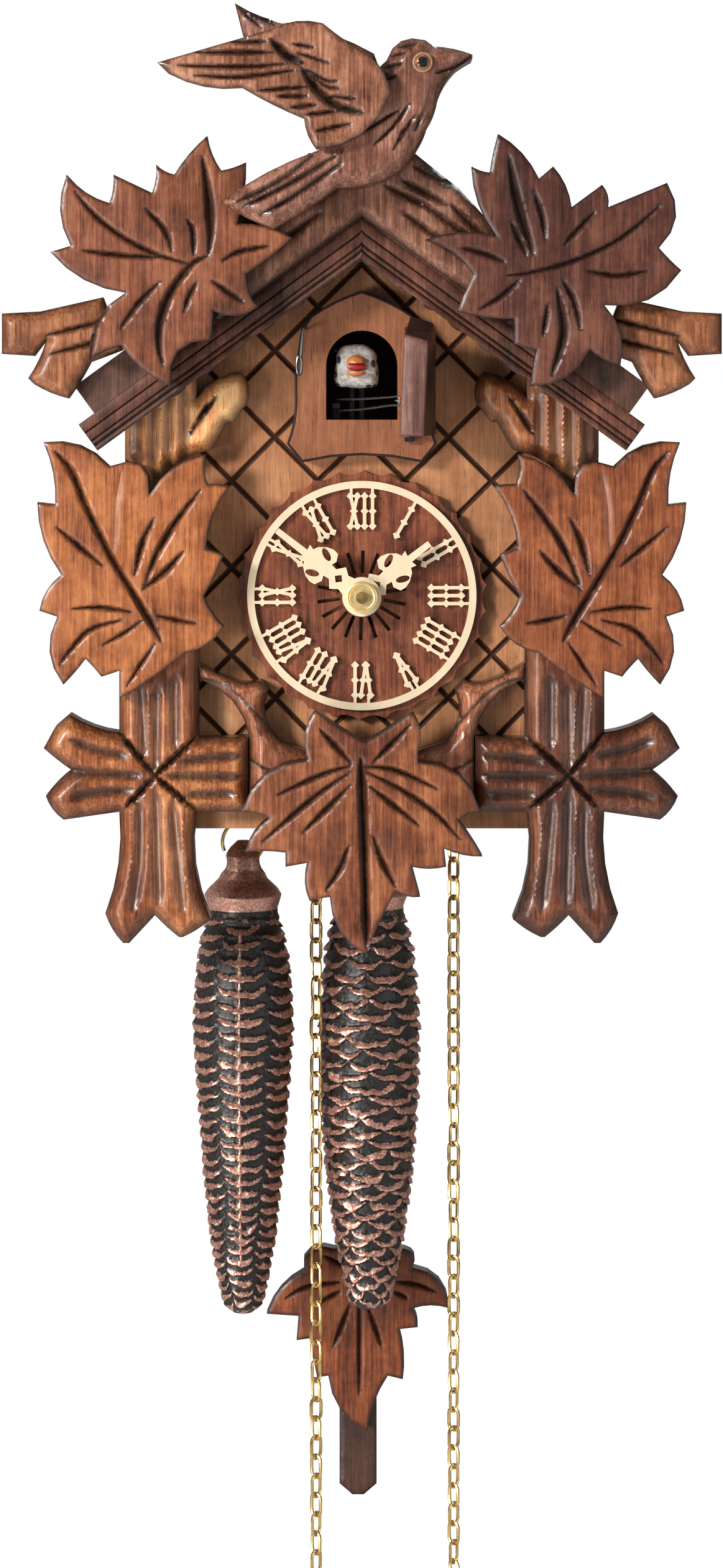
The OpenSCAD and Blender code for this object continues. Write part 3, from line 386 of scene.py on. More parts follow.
BLACK = plastic("eye_black", (0.01, 0.01, 0.01), (0.03, 0.03, 0.035), 0.2, stripe=(500, 500, 500))
BRASS = metal("brass", (0.78, 0.55, 0.22), 0.22, (0.3, 0.19, 0.08))
STEEL = metal("steel", (0.62, 0.61, 0.6), 0.28, (0.28, 0.25, 0.22), 0.3)
DARK_STEEL = metal("black_steel", (0.06, 0.06, 0.065), 0.35, (0.02, 0.018, 0.016), 0.5)
TIE = plastic("tie_string", (0.72, 0.62, 0.45), (0.45, 0.36, 0.22), 0.75, stripe=(2500, 2500, 2500),
              depth=0.0003)
GREY_WIRE = metal("grey_wire", (0.15, 0.145, 0.14), 0.32, (0.04, 0.035, 0.03), 0.6)
NUT_BRASS = metal("nut_brass", (0.92, 0.72, 0.34), 0.32, (0.62, 0.44, 0.18), 0.4, metallic=0.7)
LID = plastic("eye_lid_tan", (0.42, 0.27, 0.17), (0.2, 0.1, 0.06), 0.4, stripe=(900, 900, 900))


def eye_glass():
    s = Shader("eye_amber")
    cloud = s.grain(s.place, 900, 3, 0.6)
    s.set(Base_Color=s.ramp(cloud, [(0.35, (0.16, 0.035, 0.008)), (0.6, (0.48, 0.15, 0.035))]))
    s.set(Roughness=0.12, Coat_Weight=1.0, Coat_Roughness=0.03)
    return s.material


def cast_copper():
    """Copper paint rubbed over black: the ridges shine and the hollows stay dark."""
    s = Shader("cast_copper")
    patch = s.grain(s.place, 230, 4, 0.6)
    speck = s.grain(s.place, 1700, 3, 0.6)
    ridge = s.math("MULTIPLY_ADD", patch, 1.0, s.math("SUBTRACT", s.attribute("ridge"), 0.5))
    ridge = s.math("MULTIPLY_ADD", speck, 0.6, s.math("SUBTRACT", ridge, 0.3))
    rubbed = s.band(ridge, 0.30, 0.55)
    copper = s.ramp(speck, [(0.3, (0.34, 0.15, 0.10)), (0.5, (0.62, 0.32, 0.24)), (0.7, (0.9, 0.58, 0.48))])
    black = s.ramp(speck, [(0.35, (0.004, 0.003, 0.003)), (0.72, (0.03, 0.024, 0.022))])
    s.set(Base_Color=s.mix(rubbed, black, copper), Metallic=s.math("MULTIPLY", rubbed, 0.75))
    s.set(Roughness=s.band(speck, 0.3, 0.7, 0.3, 0.5), Normal=s.bump(speck, 0.0001, 0.5))
    return s.material


EYE = eye_glass()
COPPER = cast_copper()


# ---- Mesh helpers ----

def piece(name, verts, faces, body, slot, material, stands_for=(), smooth=35, outward=True, **attributes):
    """A mesh piece from millimetre points. Each attribute is one number per point."""
    mesh = bpy.data.meshes.new(name)
    mesh.from_pydata([tuple(c * MM for c in v) for v in verts], [], faces)
    if outward:
        work = bmesh.new()
        work.from_mesh(mesh)
        bmesh.ops.recalc_face_normals(work, faces=work.faces)
        work.to_mesh(mesh)
        work.free()
    for key, values in attributes.items():
        layer = mesh.attributes.new(key, "FLOAT", "POINT")
        layer.data.foreach_set("value", np.asarray(values, np.float32))
    mesh.polygons.foreach_set("use_smooth", [True] * len(mesh.polygons))
    mesh.set_sharp_from_angle(angle=math.radians(smooth))
    mesh.materials.append(material)
    made = bpy.data.objects.new(name, mesh)
    show(made)
    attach(made, body)
    if stands_for:
        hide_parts(*stands_for)
    return made


def dress(node, material, bevel):
    """Keeps a CAD node: its own material, and a small bevel that catches light."""
    made = nodes[node]
    made.data.materials.clear()
    made.data.materials.append(material)
    if bevel:
        soft = made.modifiers.new("bevel", "BEVEL")
        soft.width = bevel * MM
        soft.segments = 2
        soft.limit_method = "ANGLE"
        soft.angle_limit = math.radians(35)


def border(faces):
    """The directed edges that only one of the faces has."""
    edges = {}
    for face in faces:
        for a, b in zip(face, face[1:] + face[:1]):
            if (b, a) in edges:
                del edges[(b, a)]
            else:
                edges[(a, b)] = True
    return edges


def loops_at(node, y):
    """Outlines, in (x, z), of the node's flat faces that lie at depth y."""
    mesh = nodes[node].data
    points = np.array([v.co for v in mesh.vertices]) / MM
    flat = [[tuple(np.round(points[i][[0, 2]], 2)) for i in face.vertices] for face in mesh.polygons
            if all(abs(points[i][1] - y) < 0.02 for i in face.vertices)]
    follow = {}
    for a, b in border(flat):
        follow.setdefault(a, []).append(b)
    loops = []
    while follow:
        start = next(iter(follow))
        loop = [start]
        while True:
            here = loop[-1]
            after = follow[here].pop()
            if not follow[here]:
                del follow[here]
            if after == start:
                break
            loop.append(after)
        area = sum(a[0] * b[1] - b[0] * a[1] for a, b in zip(loop, loop[1:] + loop[:1])) / 2
        if abs(area) > 1:
            loops.append(loop if area > 0 else loop[::-1])
    return sorted(loops)


def resample(points, step, closed=False):
    points = [np.array(p, float) for p in points]
    ends = points[1:] + points[:1] if closed else points[1:]
    out = []
    for a, b in zip(points, ends):
        count = max(1, round(float(np.linalg.norm(b - a)) / step))
        out += [a + (b - a) * k / count for k in range(count)]
    return np.array(out if closed else out + [points[-1]])


def curve_through(points, step):
    """A smooth line through the points, sampled about every step."""
    if len(points) == 2:
        return resample(points, step)
    p = [np.array(q, float) for q in points]
    p = [2 * p[0] - p[1]] + p + [2 * p[-1] - p[-2]]
    fine = []
    for a, b, c, d in zip(p, p[1:], p[2:], p[3:]):
        for t in np.linspace(0, 1, 9)[:-1]:
            fine.append(0.5 * (2 * b + (c - a) * t + (2 * a - 5 * b + 4 * c - d) * t * t
                               + (3 * b - a - 3 * c + d) * t ** 3))
    fine.append(p[-2])
    fine = np.array(fine)
    lengths = np.concatenate([[0], np.cumsum(np.linalg.norm(np.diff(fine, axis=0), axis=1))])
    count = max(2, round(lengths[-1] / step))
    at = np.linspace(0, lengths[-1], count + 1)
    return np.array([np.interp(at, lengths, column) for column in fine.T]).T


def from_line(points, line, closed=False):
    """Each point's distance to the line, and its place along it from 0 to 1."""
    a = line
    b = np.roll(line, -1, axis=0)
    if not closed:
        a, b = a[:-1], b[:-1]
    run = b - a
    size = np.maximum((run ** 2).sum(1), 1e-9)
    best = np.full(len(points), 1e9)
    place = np.zeros(len(points))
    for k in range(len(a)):
        rel = points - a[k]
        t = np.clip((rel @ run[k]) / size[k], 0, 1)
        off = rel - t[:, None] * run[k]
        d = np.sqrt((off ** 2).sum(1))
        closer = d < best
        best[closer] = d[closer]
        place[closer] = (k + t[closer]) / len(a)
    return best, place


def inside(points, loop):
    x, z = points[:, 0], points[:, 1]
    odd = np.zeros(len(points), bool)
    for (ax, az), (bx, bz) in zip(loop, np.roll(loop, -1, axis=0)):
        if az == bz:
            continue
        odd ^= ((az > z) != (bz > z)) & (x < (bx - ax) * (z - az) / (bz - az) + ax)
    return odd


def wavy(points, size, seed):
    """Soft noise from -1 to 1 at each (x, z) point."""
    return np.array([noise.noise(Vector((p[0] / size, p[1] / size, seed))) for p in points])


def grooves(lines, width=2.2, depth=1.1, kind="v", taper=0.3, dark=1.0):
    """Cuts, "v" or "u" in section. Each line is x, z, x, z and so on, and taper is its thin ends' share; dark
    is how much painted shade the cut takes.
    """
    return [dict(line=[line[k:k + 2] for k in range(0, len(line), 2)], width=width, depth=depth, kind=kind,
                 taper=taper, dark=dark) for line in lines]


def mirrored(cuts):
    return [dict(c, line=[[-p[0], *p[1:]] for p in c["line"]]) for c in cuts]


def scattered(outline, step, dice):
    """A jittered triangle grid of points inside an outline."""
    low, high = outline.min(0), outline.max(0)
    row = step * math.sqrt(3) / 2
    grid = []
    for j in range(int((high[1] - low[1]) / row) + 1):
        for i in range(int((high[0] - low[0]) / step) + 1):
            grid.append((low[0] + (i + 0.5 * (j % 2)) * step + dice.uniform(-0.1, 0.1) * step,
                         low[1] + j * row + dice.uniform(-0.1, 0.1) * step))
    grid = np.array(grid)
    grid = grid[inside(grid, outline)]
    return grid[from_line(grid, outline, True)[0] > step * 0.55]


def cut_mesh(outline, cuts, step, dice):
    """The flat points and triangles of a plate, with edges along its v cuts, and each cut's line."""
    grid = scattered(outline, step, dice)
    points = [tuple(p) for p in outline]
    count = len(points)
    fixed = [(i, (i + 1) % count) for i in range(count)]
    lines = []
    for cut in cuts:
        line = curve_through(cut["line"], step * 0.9)
        lines.append(line)
        kept = line[inside(line, outline)]
        if len(kept) < 2:
            continue
        kept = kept[from_line(kept, outline, True)[0] > step * 0.6]
        if len(kept) < 2 or cut["kind"] == "u":
            continue
        grid = grid[from_line(grid, kept)[0] > step * 0.5]
        first = len(points)
        points += [tuple(p) for p in kept]
        gaps = np.linalg.norm(np.diff(kept, axis=0), axis=1)
        fixed += [(first + i, first + i + 1) for i in range(len(kept) - 1) if gaps[i] < step * 1.5]
    points += [tuple(p) for p in grid]
    found = delaunay_2d_cdt([Vector(p) for p in points], fixed, [list(range(count))], 1, 1e-4)
    return np.array([tuple(v) for v in found[0]]), found[2], lines


def sink_cuts(flat, drop, cuts, lines, valley):
    """The drop with its cuts, and how much painted shade each point takes in them. The surface also sinks a
    little beside a cut.
    """
    deepest = np.zeros(len(flat))
    shade = np.zeros(len(flat))
    for cut, line in zip(cuts, lines):
        d, t = from_line(flat, line)
        half = cut["width"] / 2
        ends = np.clip(np.minimum(t, 1 - t) / max(cut["taper"], 1e-3), 0, 1) ** 0.6
        wide = np.maximum(half * (0.35 + 0.65 * ends), 0.2)
        share = np.clip(1 - d / wide, 0, 1)
        shape = share if cut["kind"] == "v" else np.clip(1 - (d / wide) ** 2, 0, 1)
        deepest = np.maximum(deepest, cut["depth"] * (0.25 + 0.75 * ends) * shape)
        drop = drop + valley * cut["depth"] * ends * np.exp(-d / (2.2 * half)) * 0.8
        if cut["dark"]:
            shade = np.maximum(shade, cut["dark"] * np.clip(1.5 * share, 0, 1) ** 0.8)
    return drop, deepest, shade


def carve(name, node, body, slot, material, front, back, cuts=(), edge=(1.2, 0.5, 2.0), step=0.75,
          valley=0.25, wave=0.10, rim=0.9, crown=0.0, seed=1.0, loops=None, burn=1.0, cut_shade_gain=1.0):
    """A carved plate on a node's outline. edge is the rounding's width, depth and power; crown domes the
    whole plate; rim is the burnt edge's width, burn its darkness, and the last argument strengthens the
    painted shade in the cuts."""
    verts, faces, dark, scorch_and_shade = [], [], [], []
    dice = random.Random(int(seed * 1000))
    for loop in (loops or loops_at(node, front)):
        outline = resample(loop, step, closed=True)
        flat, tris, lines = cut_mesh(outline, cuts, step, dice)
        edge_width, edge_depth, power = edge
        rim_far = from_line(flat, outline, True)[0]
        drop = edge_depth * np.clip(1 - rim_far / edge_width, 0, 1) ** power
        drop, deepest, shade = sink_cuts(flat, drop, cuts, lines, valley)
        if crown:
            centre = outline.mean(0)
            reach = np.linalg.norm(outline - centre, axis=1).max()
            drop = drop + crown * (np.linalg.norm(flat - centre, axis=1) / reach) ** 2
        drop = drop + deepest
        drop = drop + wave * (1 + wavy(flat, 6.5, seed)) + wave * 0.5 * (1 + wavy(flat, 2.1, seed + 7))
        drop = np.clip(drop, 0, (back - front) * 0.9)
        base = len(verts)
        verts += [(p[0], front + d, p[1]) for p, d in zip(flat, drop)]
        faces += [[base + i for i in f] for f in tris]
        # Painted shade in the cuts, for the cut attribute.
        dark += list(np.clip(shade * cut_shade_gain, 0, 1))
        scorch_and_shade += list(np.clip(1 - rim_far / rim, 0, 1) * burn if rim else np.zeros(len(flat)))
        rim_edges = border(tris)
        wall = {}
        for a, b in rim_edges:
            for i in (a, b):
                if i not in wall:
                    wall[i] = len(verts)
                    verts.append((flat[i][0], back, flat[i][1]))
                    dark.append(0)
                    scorch_and_shade.append(burn)
            faces.append([base + b, base + a, wall[a], wall[b]])
        order = dict(rim_edges.keys())
        ring, here = [], next(iter(order))
        while here in order:
            ring.append(here)
            here = order.pop(here)
        rear = delaunay_2d_cdt([Vector(flat[i]) for i in ring], [], [list(range(len(ring)))], 1, 1e-4)
        if len(rear[0]) == len(ring):
            faces += [[wall[ring[rear[3][i][0]]] for i in reversed(f)] for f in rear[2]]
    piece(name, verts, faces, body, slot, material, (node,), outward=False, cut=dark, rim=scorch_and_shade)


def quads(rows, columns, wrap=False):
    """Faces of a grid of points; wrap joins each row's ends."""
    faces = []
    for k in range(rows - 1):
        here, above = k * columns, (k + 1) * columns
        for i in range(columns if wrap else columns - 1):
            j = (i + 1) % columns
            faces.append([here + i, here + j, above + j, above + i])
    return faces


def lathe(rings, sides):
    """Points and faces of a stack of rings; each ring is a list of points, or one point at an end."""
    verts, faces, starts = [], [], []
    for ring in rings:
        starts.append(len(verts))
        verts += ring
    for (a, ra), (b, rb) in zip(zip(starts, rings), zip(starts[1:], rings[1:])):
        for i in range(sides):
            j = (i + 1) % sides
            if len(ra) == 1:
                faces.append([a, b + i, b + j])
            elif len(rb) == 1:
                faces.append([a + i, b, a + j])
            else:
                faces.append([a + i, b + i, b + j, a + j])
    return verts, faces


def turned(profile, at, sides=48):
    """A form turned about Y: profile is (radius, depth) pairs from one end to the other."""
    rings = []
    for r, h in profile:
        count = 1 if r < 1e-6 else sides
        rings.append([(at[0] + r * math.cos(TAU * k / sides), at[1] + h,
                       at[2] + r * math.sin(TAU * k / sides)) for k in range(count)])
    return lathe(rings, sides)


def joined(parts):
    verts, faces = [], []
    for v, f in parts:
        base = len(verts)
        verts += list(v)
        faces += [[base + i for i in face] for face in f]
    return verts, faces


def tube(path, radius, sides=8, closed=False, flat=1.0, up=(0, 1, 0)):
    """A bar along a path. flat squeezes its section across up."""
    path = [np.array(p, float) for p in path]
    count = len(path)
    rings = []
    side = None
    for i in range(count):
        ahead = path[(i + 1) % count] if closed or i < count - 1 else path[i]
        behind = path[i - 1] if closed or i else path[i]
        run = ahead - behind
        run /= max(np.linalg.norm(run), 1e-9)
        guide = np.array(up, float) if side is None else side
        side = guide - run * (guide @ run)
        if np.linalg.norm(side) < 1e-3:
            side = np.array((1.0, 0, 0)) - run * run[0]
        side /= np.linalg.norm(side)
        other = np.cross(run, side)
        rings.append([tuple(path[i] + radius * (math.cos(TAU * k / sides) * side
                                                + math.sin(TAU * k / sides) * other * flat))
                      for k in range(sides)])
    verts, faces = lathe(rings, sides)
    if closed:
        last = (count - 1) * sides
        faces += [[last + i, i, (i + 1) % sides, last + (i + 1) % sides] for i in range(sides)]
    else:
        faces += [list(range(sides))[::-1], [(count - 1) * sides + i for i in range(sides)]]
    return verts, faces


# ---- Chains ----

def along(path, pitch, start=0.0):
    """Places every pitch along a path, each with its direction, and the path's length."""
    path = np.array(path, float)
    steps = np.concatenate([[0], np.cumsum(np.linalg.norm(np.diff(path, axis=0), axis=1))])
    at = np.arange(start, steps[-1], pitch)

    def spots(places):
        return np.array([np.interp(places, steps, path[:, k]) for k in range(3)]).T

    runs = spots(np.minimum(at + 1.5, steps[-1])) - spots(np.maximum(at - 1.5, 0))
    return spots(at), runs / np.linalg.norm(runs, axis=1)[:, None], steps[-1]


def link(centre, run, across, bend):
    """One oval wire link that lies in the plane of run and across."""
    r = (LINK_WIDTH - CHAIN_WIRE) / 2
    half = (LINK_LENGTH - LINK_WIDTH) / 2
    path = []
    for first, end in ((-math.pi / 2, half), (math.pi / 2, -half)):
        for k in range(bend):
            a = math.pi * k / (bend - 1) + first
            path.append(centre + run * (end + r * math.cos(a)) + across * (r * math.sin(a)))
    return tube(path, CHAIN_WIRE / 2, 6, closed=True, up=np.cross(run, across))


def chain(path, seed, start=2.5, across=(1, 0, 0), bend=7):
    """Links along a path, each turned a quarter from the last."""
    dice = random.Random(seed)
    spots, runs, _ = along(path, LINK_PITCH, start)
    guide = np.array(across, float)
    parts = []
    for i, (spot, run) in enumerate(zip(spots, runs)):
        guide = guide - run * (guide @ run)
        guide /= np.linalg.norm(guide)
        lean = math.radians(45 + 90 * (i % 2) + dice.uniform(-9, 9))
        side = guide * math.cos(lean) + np.cross(run, guide) * math.sin(lean)
        parts.append(link(spot, run, side, bend))
    return joined(parts)


def hank_route(x, y):
    """The free chain: down the strand, five turns of 8 mm radius and three and a half of 12 mm."""
    top = box_mm("chain_left")[1][2] - 0.8
    route = [(x, y, z) for z in np.linspace(top, STRAND_LOW + 8, 30)]
    settle = 32
    for t in np.linspace(0, 1, 17)[1:]:
        share = (1 - math.cos(math.pi * t)) / 2
        route.append((x + HANK_INNER * share, y - HANK_INNER * share, STRAND_LOW + 8 - settle * t))
    depth = -HANK_INNER

    def turn(radius, depth, step):
        legs = []
        for first, level in ((0, HANK_FOOT), (math.pi, HANK_TOP)):
            for k in range(25):
                a = first - math.pi * k / 24
                legs.append((radius * math.cos(a), level + radius * math.sin(a)))
        return [(x + px, y + depth + step * (k + 1) / len(legs), pz) for k, (px, pz) in enumerate(legs)]

    for _ in range(5):
        route += turn(HANK_INNER, depth, 3.2)
        depth += 3.2
    for share in (0.25, 0.5, 0.75, 1.0):
        route.append((x + HANK_INNER + (HANK_OUTER - HANK_INNER) * share, y + depth, HANK_TOP - 16 * share))
    for _ in range(3):
        route += turn(HANK_OUTER, depth, -4.6)
        depth -= 4.6
    last = turn(HANK_OUTER, depth, -2.0)
    return route + last[:len(last) // 2 - 8]


def end_ring(side, x, y):
    z, radius, steps = box_mm("hank_" + side)[0][2] - 7, 6, 40
    path = [(x + radius * math.cos(TAU * k / steps), y, z + radius * math.sin(TAU * k / steps))
            for k in range(steps)]
    return piece("end_ring_" + side, *tube(path, 1.0, 10, closed=True), side + "_free_chain", "brass", BRASS,
                 ("chain_end_" + side,))


def tie_string(side):
    """String wound six times round the middle of the hank."""
    x, y, z = middle("hank_" + side)
    wide, deep, _ = half_size("hank_" + side)
    corner, rise = 5.0, 5.0
    path = []
    turns, count = 6, 48
    for k in range(turns * count + 1):
        c, s = math.cos(TAU * k / count), math.sin(TAU * k / count)
        px = (wide - corner) * max(-1, min(1, c * 1.6)) + corner * c
        py = (deep - corner) * max(-1, min(1, s * 1.6)) + corner * s
        path.append((x + px * 1.012, y + py * 1.012, z - rise / 2 + rise * k / (turns * count)))
    return piece("tie_" + side, *tube(path, 0.5, 6, up=(0, 0, 1)), side + "_free_chain", "tie", TIE,
                 ("chain_end_" + side,))


def free_chain(side):
    x, y, _ = middle("chain_" + side)
    route = hank_route(x, y)
    _, _, length = along(route, LINK_PITCH)
    links = piece("chain_links_" + side, *chain(route, 11 if side == "left" else 12),
                  side + "_free_chain", "brass", BRASS, ("chain_" + side, "hank_" + side))
    tie, ring = tie_string(side), end_ring(side, x, y)


for side in ("left", "right"):
    free_chain(side)


# ---- Carved plates ----

TOP_LEFT_VEINS = (
    grooves([[-37.7, 13.1, -41.2, 11.4, -45, 7, -47.9, 2.1, -49.8, -4.2, -49.8, -10.1, -48.8, -13.8],
        [-37.7, 13.2, -37.2, 19.2, -37.7, 27.4, -39.2, 37.3]], width=3.0, depth=1.6, taper=0.4)
    + grooves([[-42.5, 11.1, -49.8, 13.2, -57.2, 16.7, -63.4, 21, -67.8, 25.4, -70.4, 28.8],
        [-49.8, 12.6, -59.6, 13.2, -68.3, 14.3], [-46.6, 14, -48.3, 19.2, -53, 24.6],
        [-41.3, 13.2, -41.6, 19.2, -43, 22.1], [-34.3, 11.8, -30.3, 14, -22.6, 15.5],
        [-36.9, 7, -32.8, 4.1, -29, 1.6], [-40.5, 6.7, -42.5, 3, -43.8, -0.8],
        [-49.5, 6.7, -54.7, 1.6, -59.3, -4.8], [-62.2, 0.6, -65.4, -4.2, -66.6, -11.9]],
        width=1.9, depth=1.0))
TOP_RIGHT_VEINS = (
    grooves([[47.9, 5, 49.5, -4.2, 48.6, -10.1, 46.6, -16.2],
        [42.1, 13.5, 39.3, 22.1, 37.5, 28.8, 36, 37.8]], width=2.9, depth=1.5, taper=0.4)
    + grooves([[35.5, 8.2, 42.2, 9.1, 52, 11.8, 60.8, 15.7, 66.6, 19.6, 71, 23.4, 73.5, 25.7],
        [45, 17.2, 44.1, 23, 42.1, 29.1], [40.4, 13.1, 36.4, 21.6], [49.5, 15.7, 57.3, 24],
        [54.9, 9.4, 62.7, 8.2, 70.4, 9.4], [49.1, 7.3, 52, 2.1, 53.7, -5.2], [45.7, 1.2, 44.5, -6.6],
        [38.9, 7.3, 34, 3, 29, 0], [35.2, 11.5, 30.2, 13.5, 24.5, 15]], width=1.9, depth=1.0))
SIDE_VEINS = (
    grooves([[-76.6, -35.3, -72.7, -39.9, -69.6, -47.2, -66.5, -53.9, -62.9, -61, -58.3, -68.7,
        -54.2, -75.4, -50.1, -82.7]],
        width=2.4, depth=1.3, taper=0.12)
    + grooves([[-40.3, -44.9, -44.9, -50.8, -49.1, -57, -52.2, -63.2, -54.7, -69.8],
        [-44.5, -60.2, -49.1, -65.2, -54.4, -69.5], [-51.9, -52, -54.7, -57.9, -56.7, -66.1]],
        width=2.6, depth=1.4, taper=0.5)
    + grooves([[-76.2, -54.2, -71.1, -58.5, -64.5, -63.9], [-72.2, -74.5, -65.5, -74.2, -57.3, -75.3],
        [-59.8, -77.3, -67.6, -79.6, -72.2, -84.2, -75.3, -88.3], [-51.1, -76.2, -46, -77.4, -41.1, -78.2]],
        width=2.0, depth=1.1, taper=0.45)
    + grooves([[-54.7, -77.4, -59.3, -80.5, -64.8, -83.6], [-51.6, -83.2, -54.7, -87.8, -58.6, -93.7]],
        width=1.7, depth=0.9, taper=0.45)
    + grooves([[-59.8, -39.5, -61.4, -48.8, -61.7, -57, -62.1, -61]], width=2.6, depth=0.5, dark=0.0))
BOTTOM_VEINS = (
    grooves([[-0.3, -111.5, 0.6, -135, 1.2, -158.5]], width=2.9, depth=2.0, taper=0.15)
    + grooves([[-10.5, -104.3, -2.6, -112.8], [12.1, -103.2, 2.5, -112.8],
        [-2.6, -113.4, -9.4, -115.4, -21, -120.6],
        [-2.6, -114.9, -9.4, -119.4, -16.5, -125.1, -24.6, -132.2], [-2.6, -118, -14.8, -130.1],
        [0.8, -113.5, 8.3, -114.5, 18.8, -119.1], [1.2, -114.9, 10, -119.4, 18.1, -125.1, 24.4, -131.6],
        [2, -118.5, 14.1, -128.1], [-3.2, -133.2, -5.4, -138.9, -9, -144.4],
        [2.8, -130.8, 4.8, -136.7, 8.3, -143.4]], width=2.1, depth=1.2, taper=0.45))
PENDULUM_VEINS = grooves([[-0.7, -259, -0.7, -289.7], [-3.3, -265.3, -7.7, -276.7],
        [1.3, -265.3, 5.3, -276.8], [-5.7, -259.3, -14.7, -260.7, -20.5, -263.8],
        [-5.8, -261.7, -11.3, -264.8], [9, -259.3, 14.7, -260.2, 19.7, -262], [8.3, -262, 12.3, -263.8],
        [-3.7, -255.7, -10.3, -252.3], [2.3, -255.7, 9.7, -252]], width=1.8, depth=1.0)
CROSS_FLUTES = (
    grooves([[-51.6, -93.9, -51.9, -115.3], [-55.8, -93.0, -54.6, -112.8],
        [-47.1, -91.5, -47.1, -110], [-51.9, -119.8, -51.1, -149.6],
        [-55.8, -122.8, -55.8, -137.2, -57.6, -150.6], [-47.6, -122.8, -46.4, -137.2, -44.9, -151.1]],
        width=3.6, depth=1.0, kind="u", taper=0.12, dark=0.35)
    + grooves([[-73.2, -107.6, -66.5, -110.3, -58.6, -111.8], [-72.5, -115.8, -55.5, -116.8],
        [-73.5, -122.5, -66.5, -121, -57.3, -120.3], [-45.7, -113.3, -38.2, -112.3, -30.5, -111.8],
        [-48.6, -116.8, -30.2, -117], [-43.7, -121.5, -31.7, -121.3]],
        width=3.2, depth=1.0, kind="u", taper=0.15, dark=0.45)
    + grooves([[-51.9, -116.8, -60.8, -106.1], [-51.9, -116.8, -41.9, -107.4],
        [-51.9, -116.8, -59.3, -124.8], [-51.9, -116.8, -42.2, -125]], width=2.2, depth=1.6, taper=0.25))
UPPER_FLUTES = (
    grooves([[x, -19, x, -42] for x in (-56.3, -52.4, -48.6, -44.6)],
        width=3.4, depth=1.0, kind="u", taper=0.1, dark=0.35)
    + grooves([[-36.8, -21.7, -39.9, -25.9, -43, -31.1]], width=2.0, depth=1.2))
BODY_CUTS = (
    grooves([[-29, 24.6, -18.4, 29.9, -6.2, 37.3], [-24.7, 22.7, -15.7, 27.8, -4.6, 35.7],
        [-30.6, 25.9, -20.5, 30.9, -12, 37.3]], width=2.2, depth=1.0, taper=0.2)
    + grooves([[0.2, 42.9, 9.2, 48.4], [2.8, 39.7, 7.4, 44, 11.6, 49.8], [7.6, 38.6, 12.9, 46.9],
        [12.9, 43.1, 14.8, 47.4], [8.7, 41, 11.8, 45.3], [9.2, 63.6, 13.4, 64.6], [7.3, 61.4, 10.3, 62.2],
        [5.5, 58.5, 10, 59.6], [3.9, 55.1, 8.4, 56.4], [1.2, 54.5, 6, 56.9], [0.7, 53.7, 6, 52.2]],
        width=1.5, depth=0.8)
    + grooves([[17.9, 57.2, 23, 59.1, 27, 61.8]], width=1.0, depth=0.8, taper=0.1))
NEAR_WING_CUTS = (
    grooves([[-31.7, 64.5, -23, 64.5], [-39.9, 61.9, -21.4, 61.9],
        [-44.4, 58.7, -28.8, 58.4, -18.3, 59.2], [-40.4, 56.3, -28.8, 56, -16.2, 57.6],
        [-25.1, 52.6, -13.5, 53.6], [-20.4, 51.3, -13, 51.4], [-17.2, 48.6, -10.9, 49.2],
        [-13.5, 46.8, -5.1, 47.8], [-11.2, 42.8, -2.5, 44.7]], width=1.8, depth=1.0, taper=0.25)
    + grooves([[-22, 65, -18.3, 61.3, -14.1, 59.2], [-14.6, 58.1, -9.8, 51.8, -5.1, 48.6, 0.2, 47.3]],
        width=3.4, depth=1.9, taper=0.3)
    + grooves([[-13, 57.6, -8.8, 55.2, -5.6, 55], [-11.9, 56, -8.3, 53.6, -5.1, 53.1],
        [-8.3, 51.3, -1.4, 50.7], [-16.7, 63.9, -11.4, 63.1], [-15.6, 61.8, -7.7, 59.2]],
        width=1.5, depth=0.8))
FAR_WING_CUTS = grooves([[-30.2, 74.6, -25.1, 70], [-28.3, 74, -21.8, 70.5], [-25.6, 73.2, -17.5, 70.8],
        [-4.1, 64.9, 0.7, 60.6], [-5.2, 62.8, 0.2, 57.9]], width=1.7, depth=0.9)
CROWN_CUTS = grooves([[9.3, 32.2, 21.2, 25.7], [5.6, 30.6, 15.8, 25.4], [12.6, 35.4, 23.3, 30],
        [13.1, 38, 23.3, 30.6, 28, 26], [14, 27, 30, 15], [10, 24, 28, 11], [22, 26, 34, 14]],
        width=2.4, depth=1.3, taper=0.2, dark=0.8)
ANTLER_CUTS = grooves([[-42, -92, -33, -95, -22, -106], [-30, -112, -14, -120]],
        width=1.4, depth=0.5, dark=0.6)
TWIG_CUTS = grooves([[-60, -2, -78, -6.5], [-57, -6, -77, -11], [-60, -10, -70, -18]],
        width=2.0, depth=1.1, taper=0.3)


def burnt_frame_edge():
    """A dark bead round the outer edge of the cuckoo's frame."""
    front = front_of("cuckoo_frame")
    outer = max(loops_at("cuckoo_frame", front), key=lambda loop: np.ptp(np.array(loop)[:, 0]))
    edge = [(p[0] * 0.998, front + 0.3, p[1]) for p in resample(outer, 0.8, closed=True)]
    piece("burnt_frame_edge", *tube(edge, 0.4, 8, closed=True), "case", "facade_wood", BURNT)


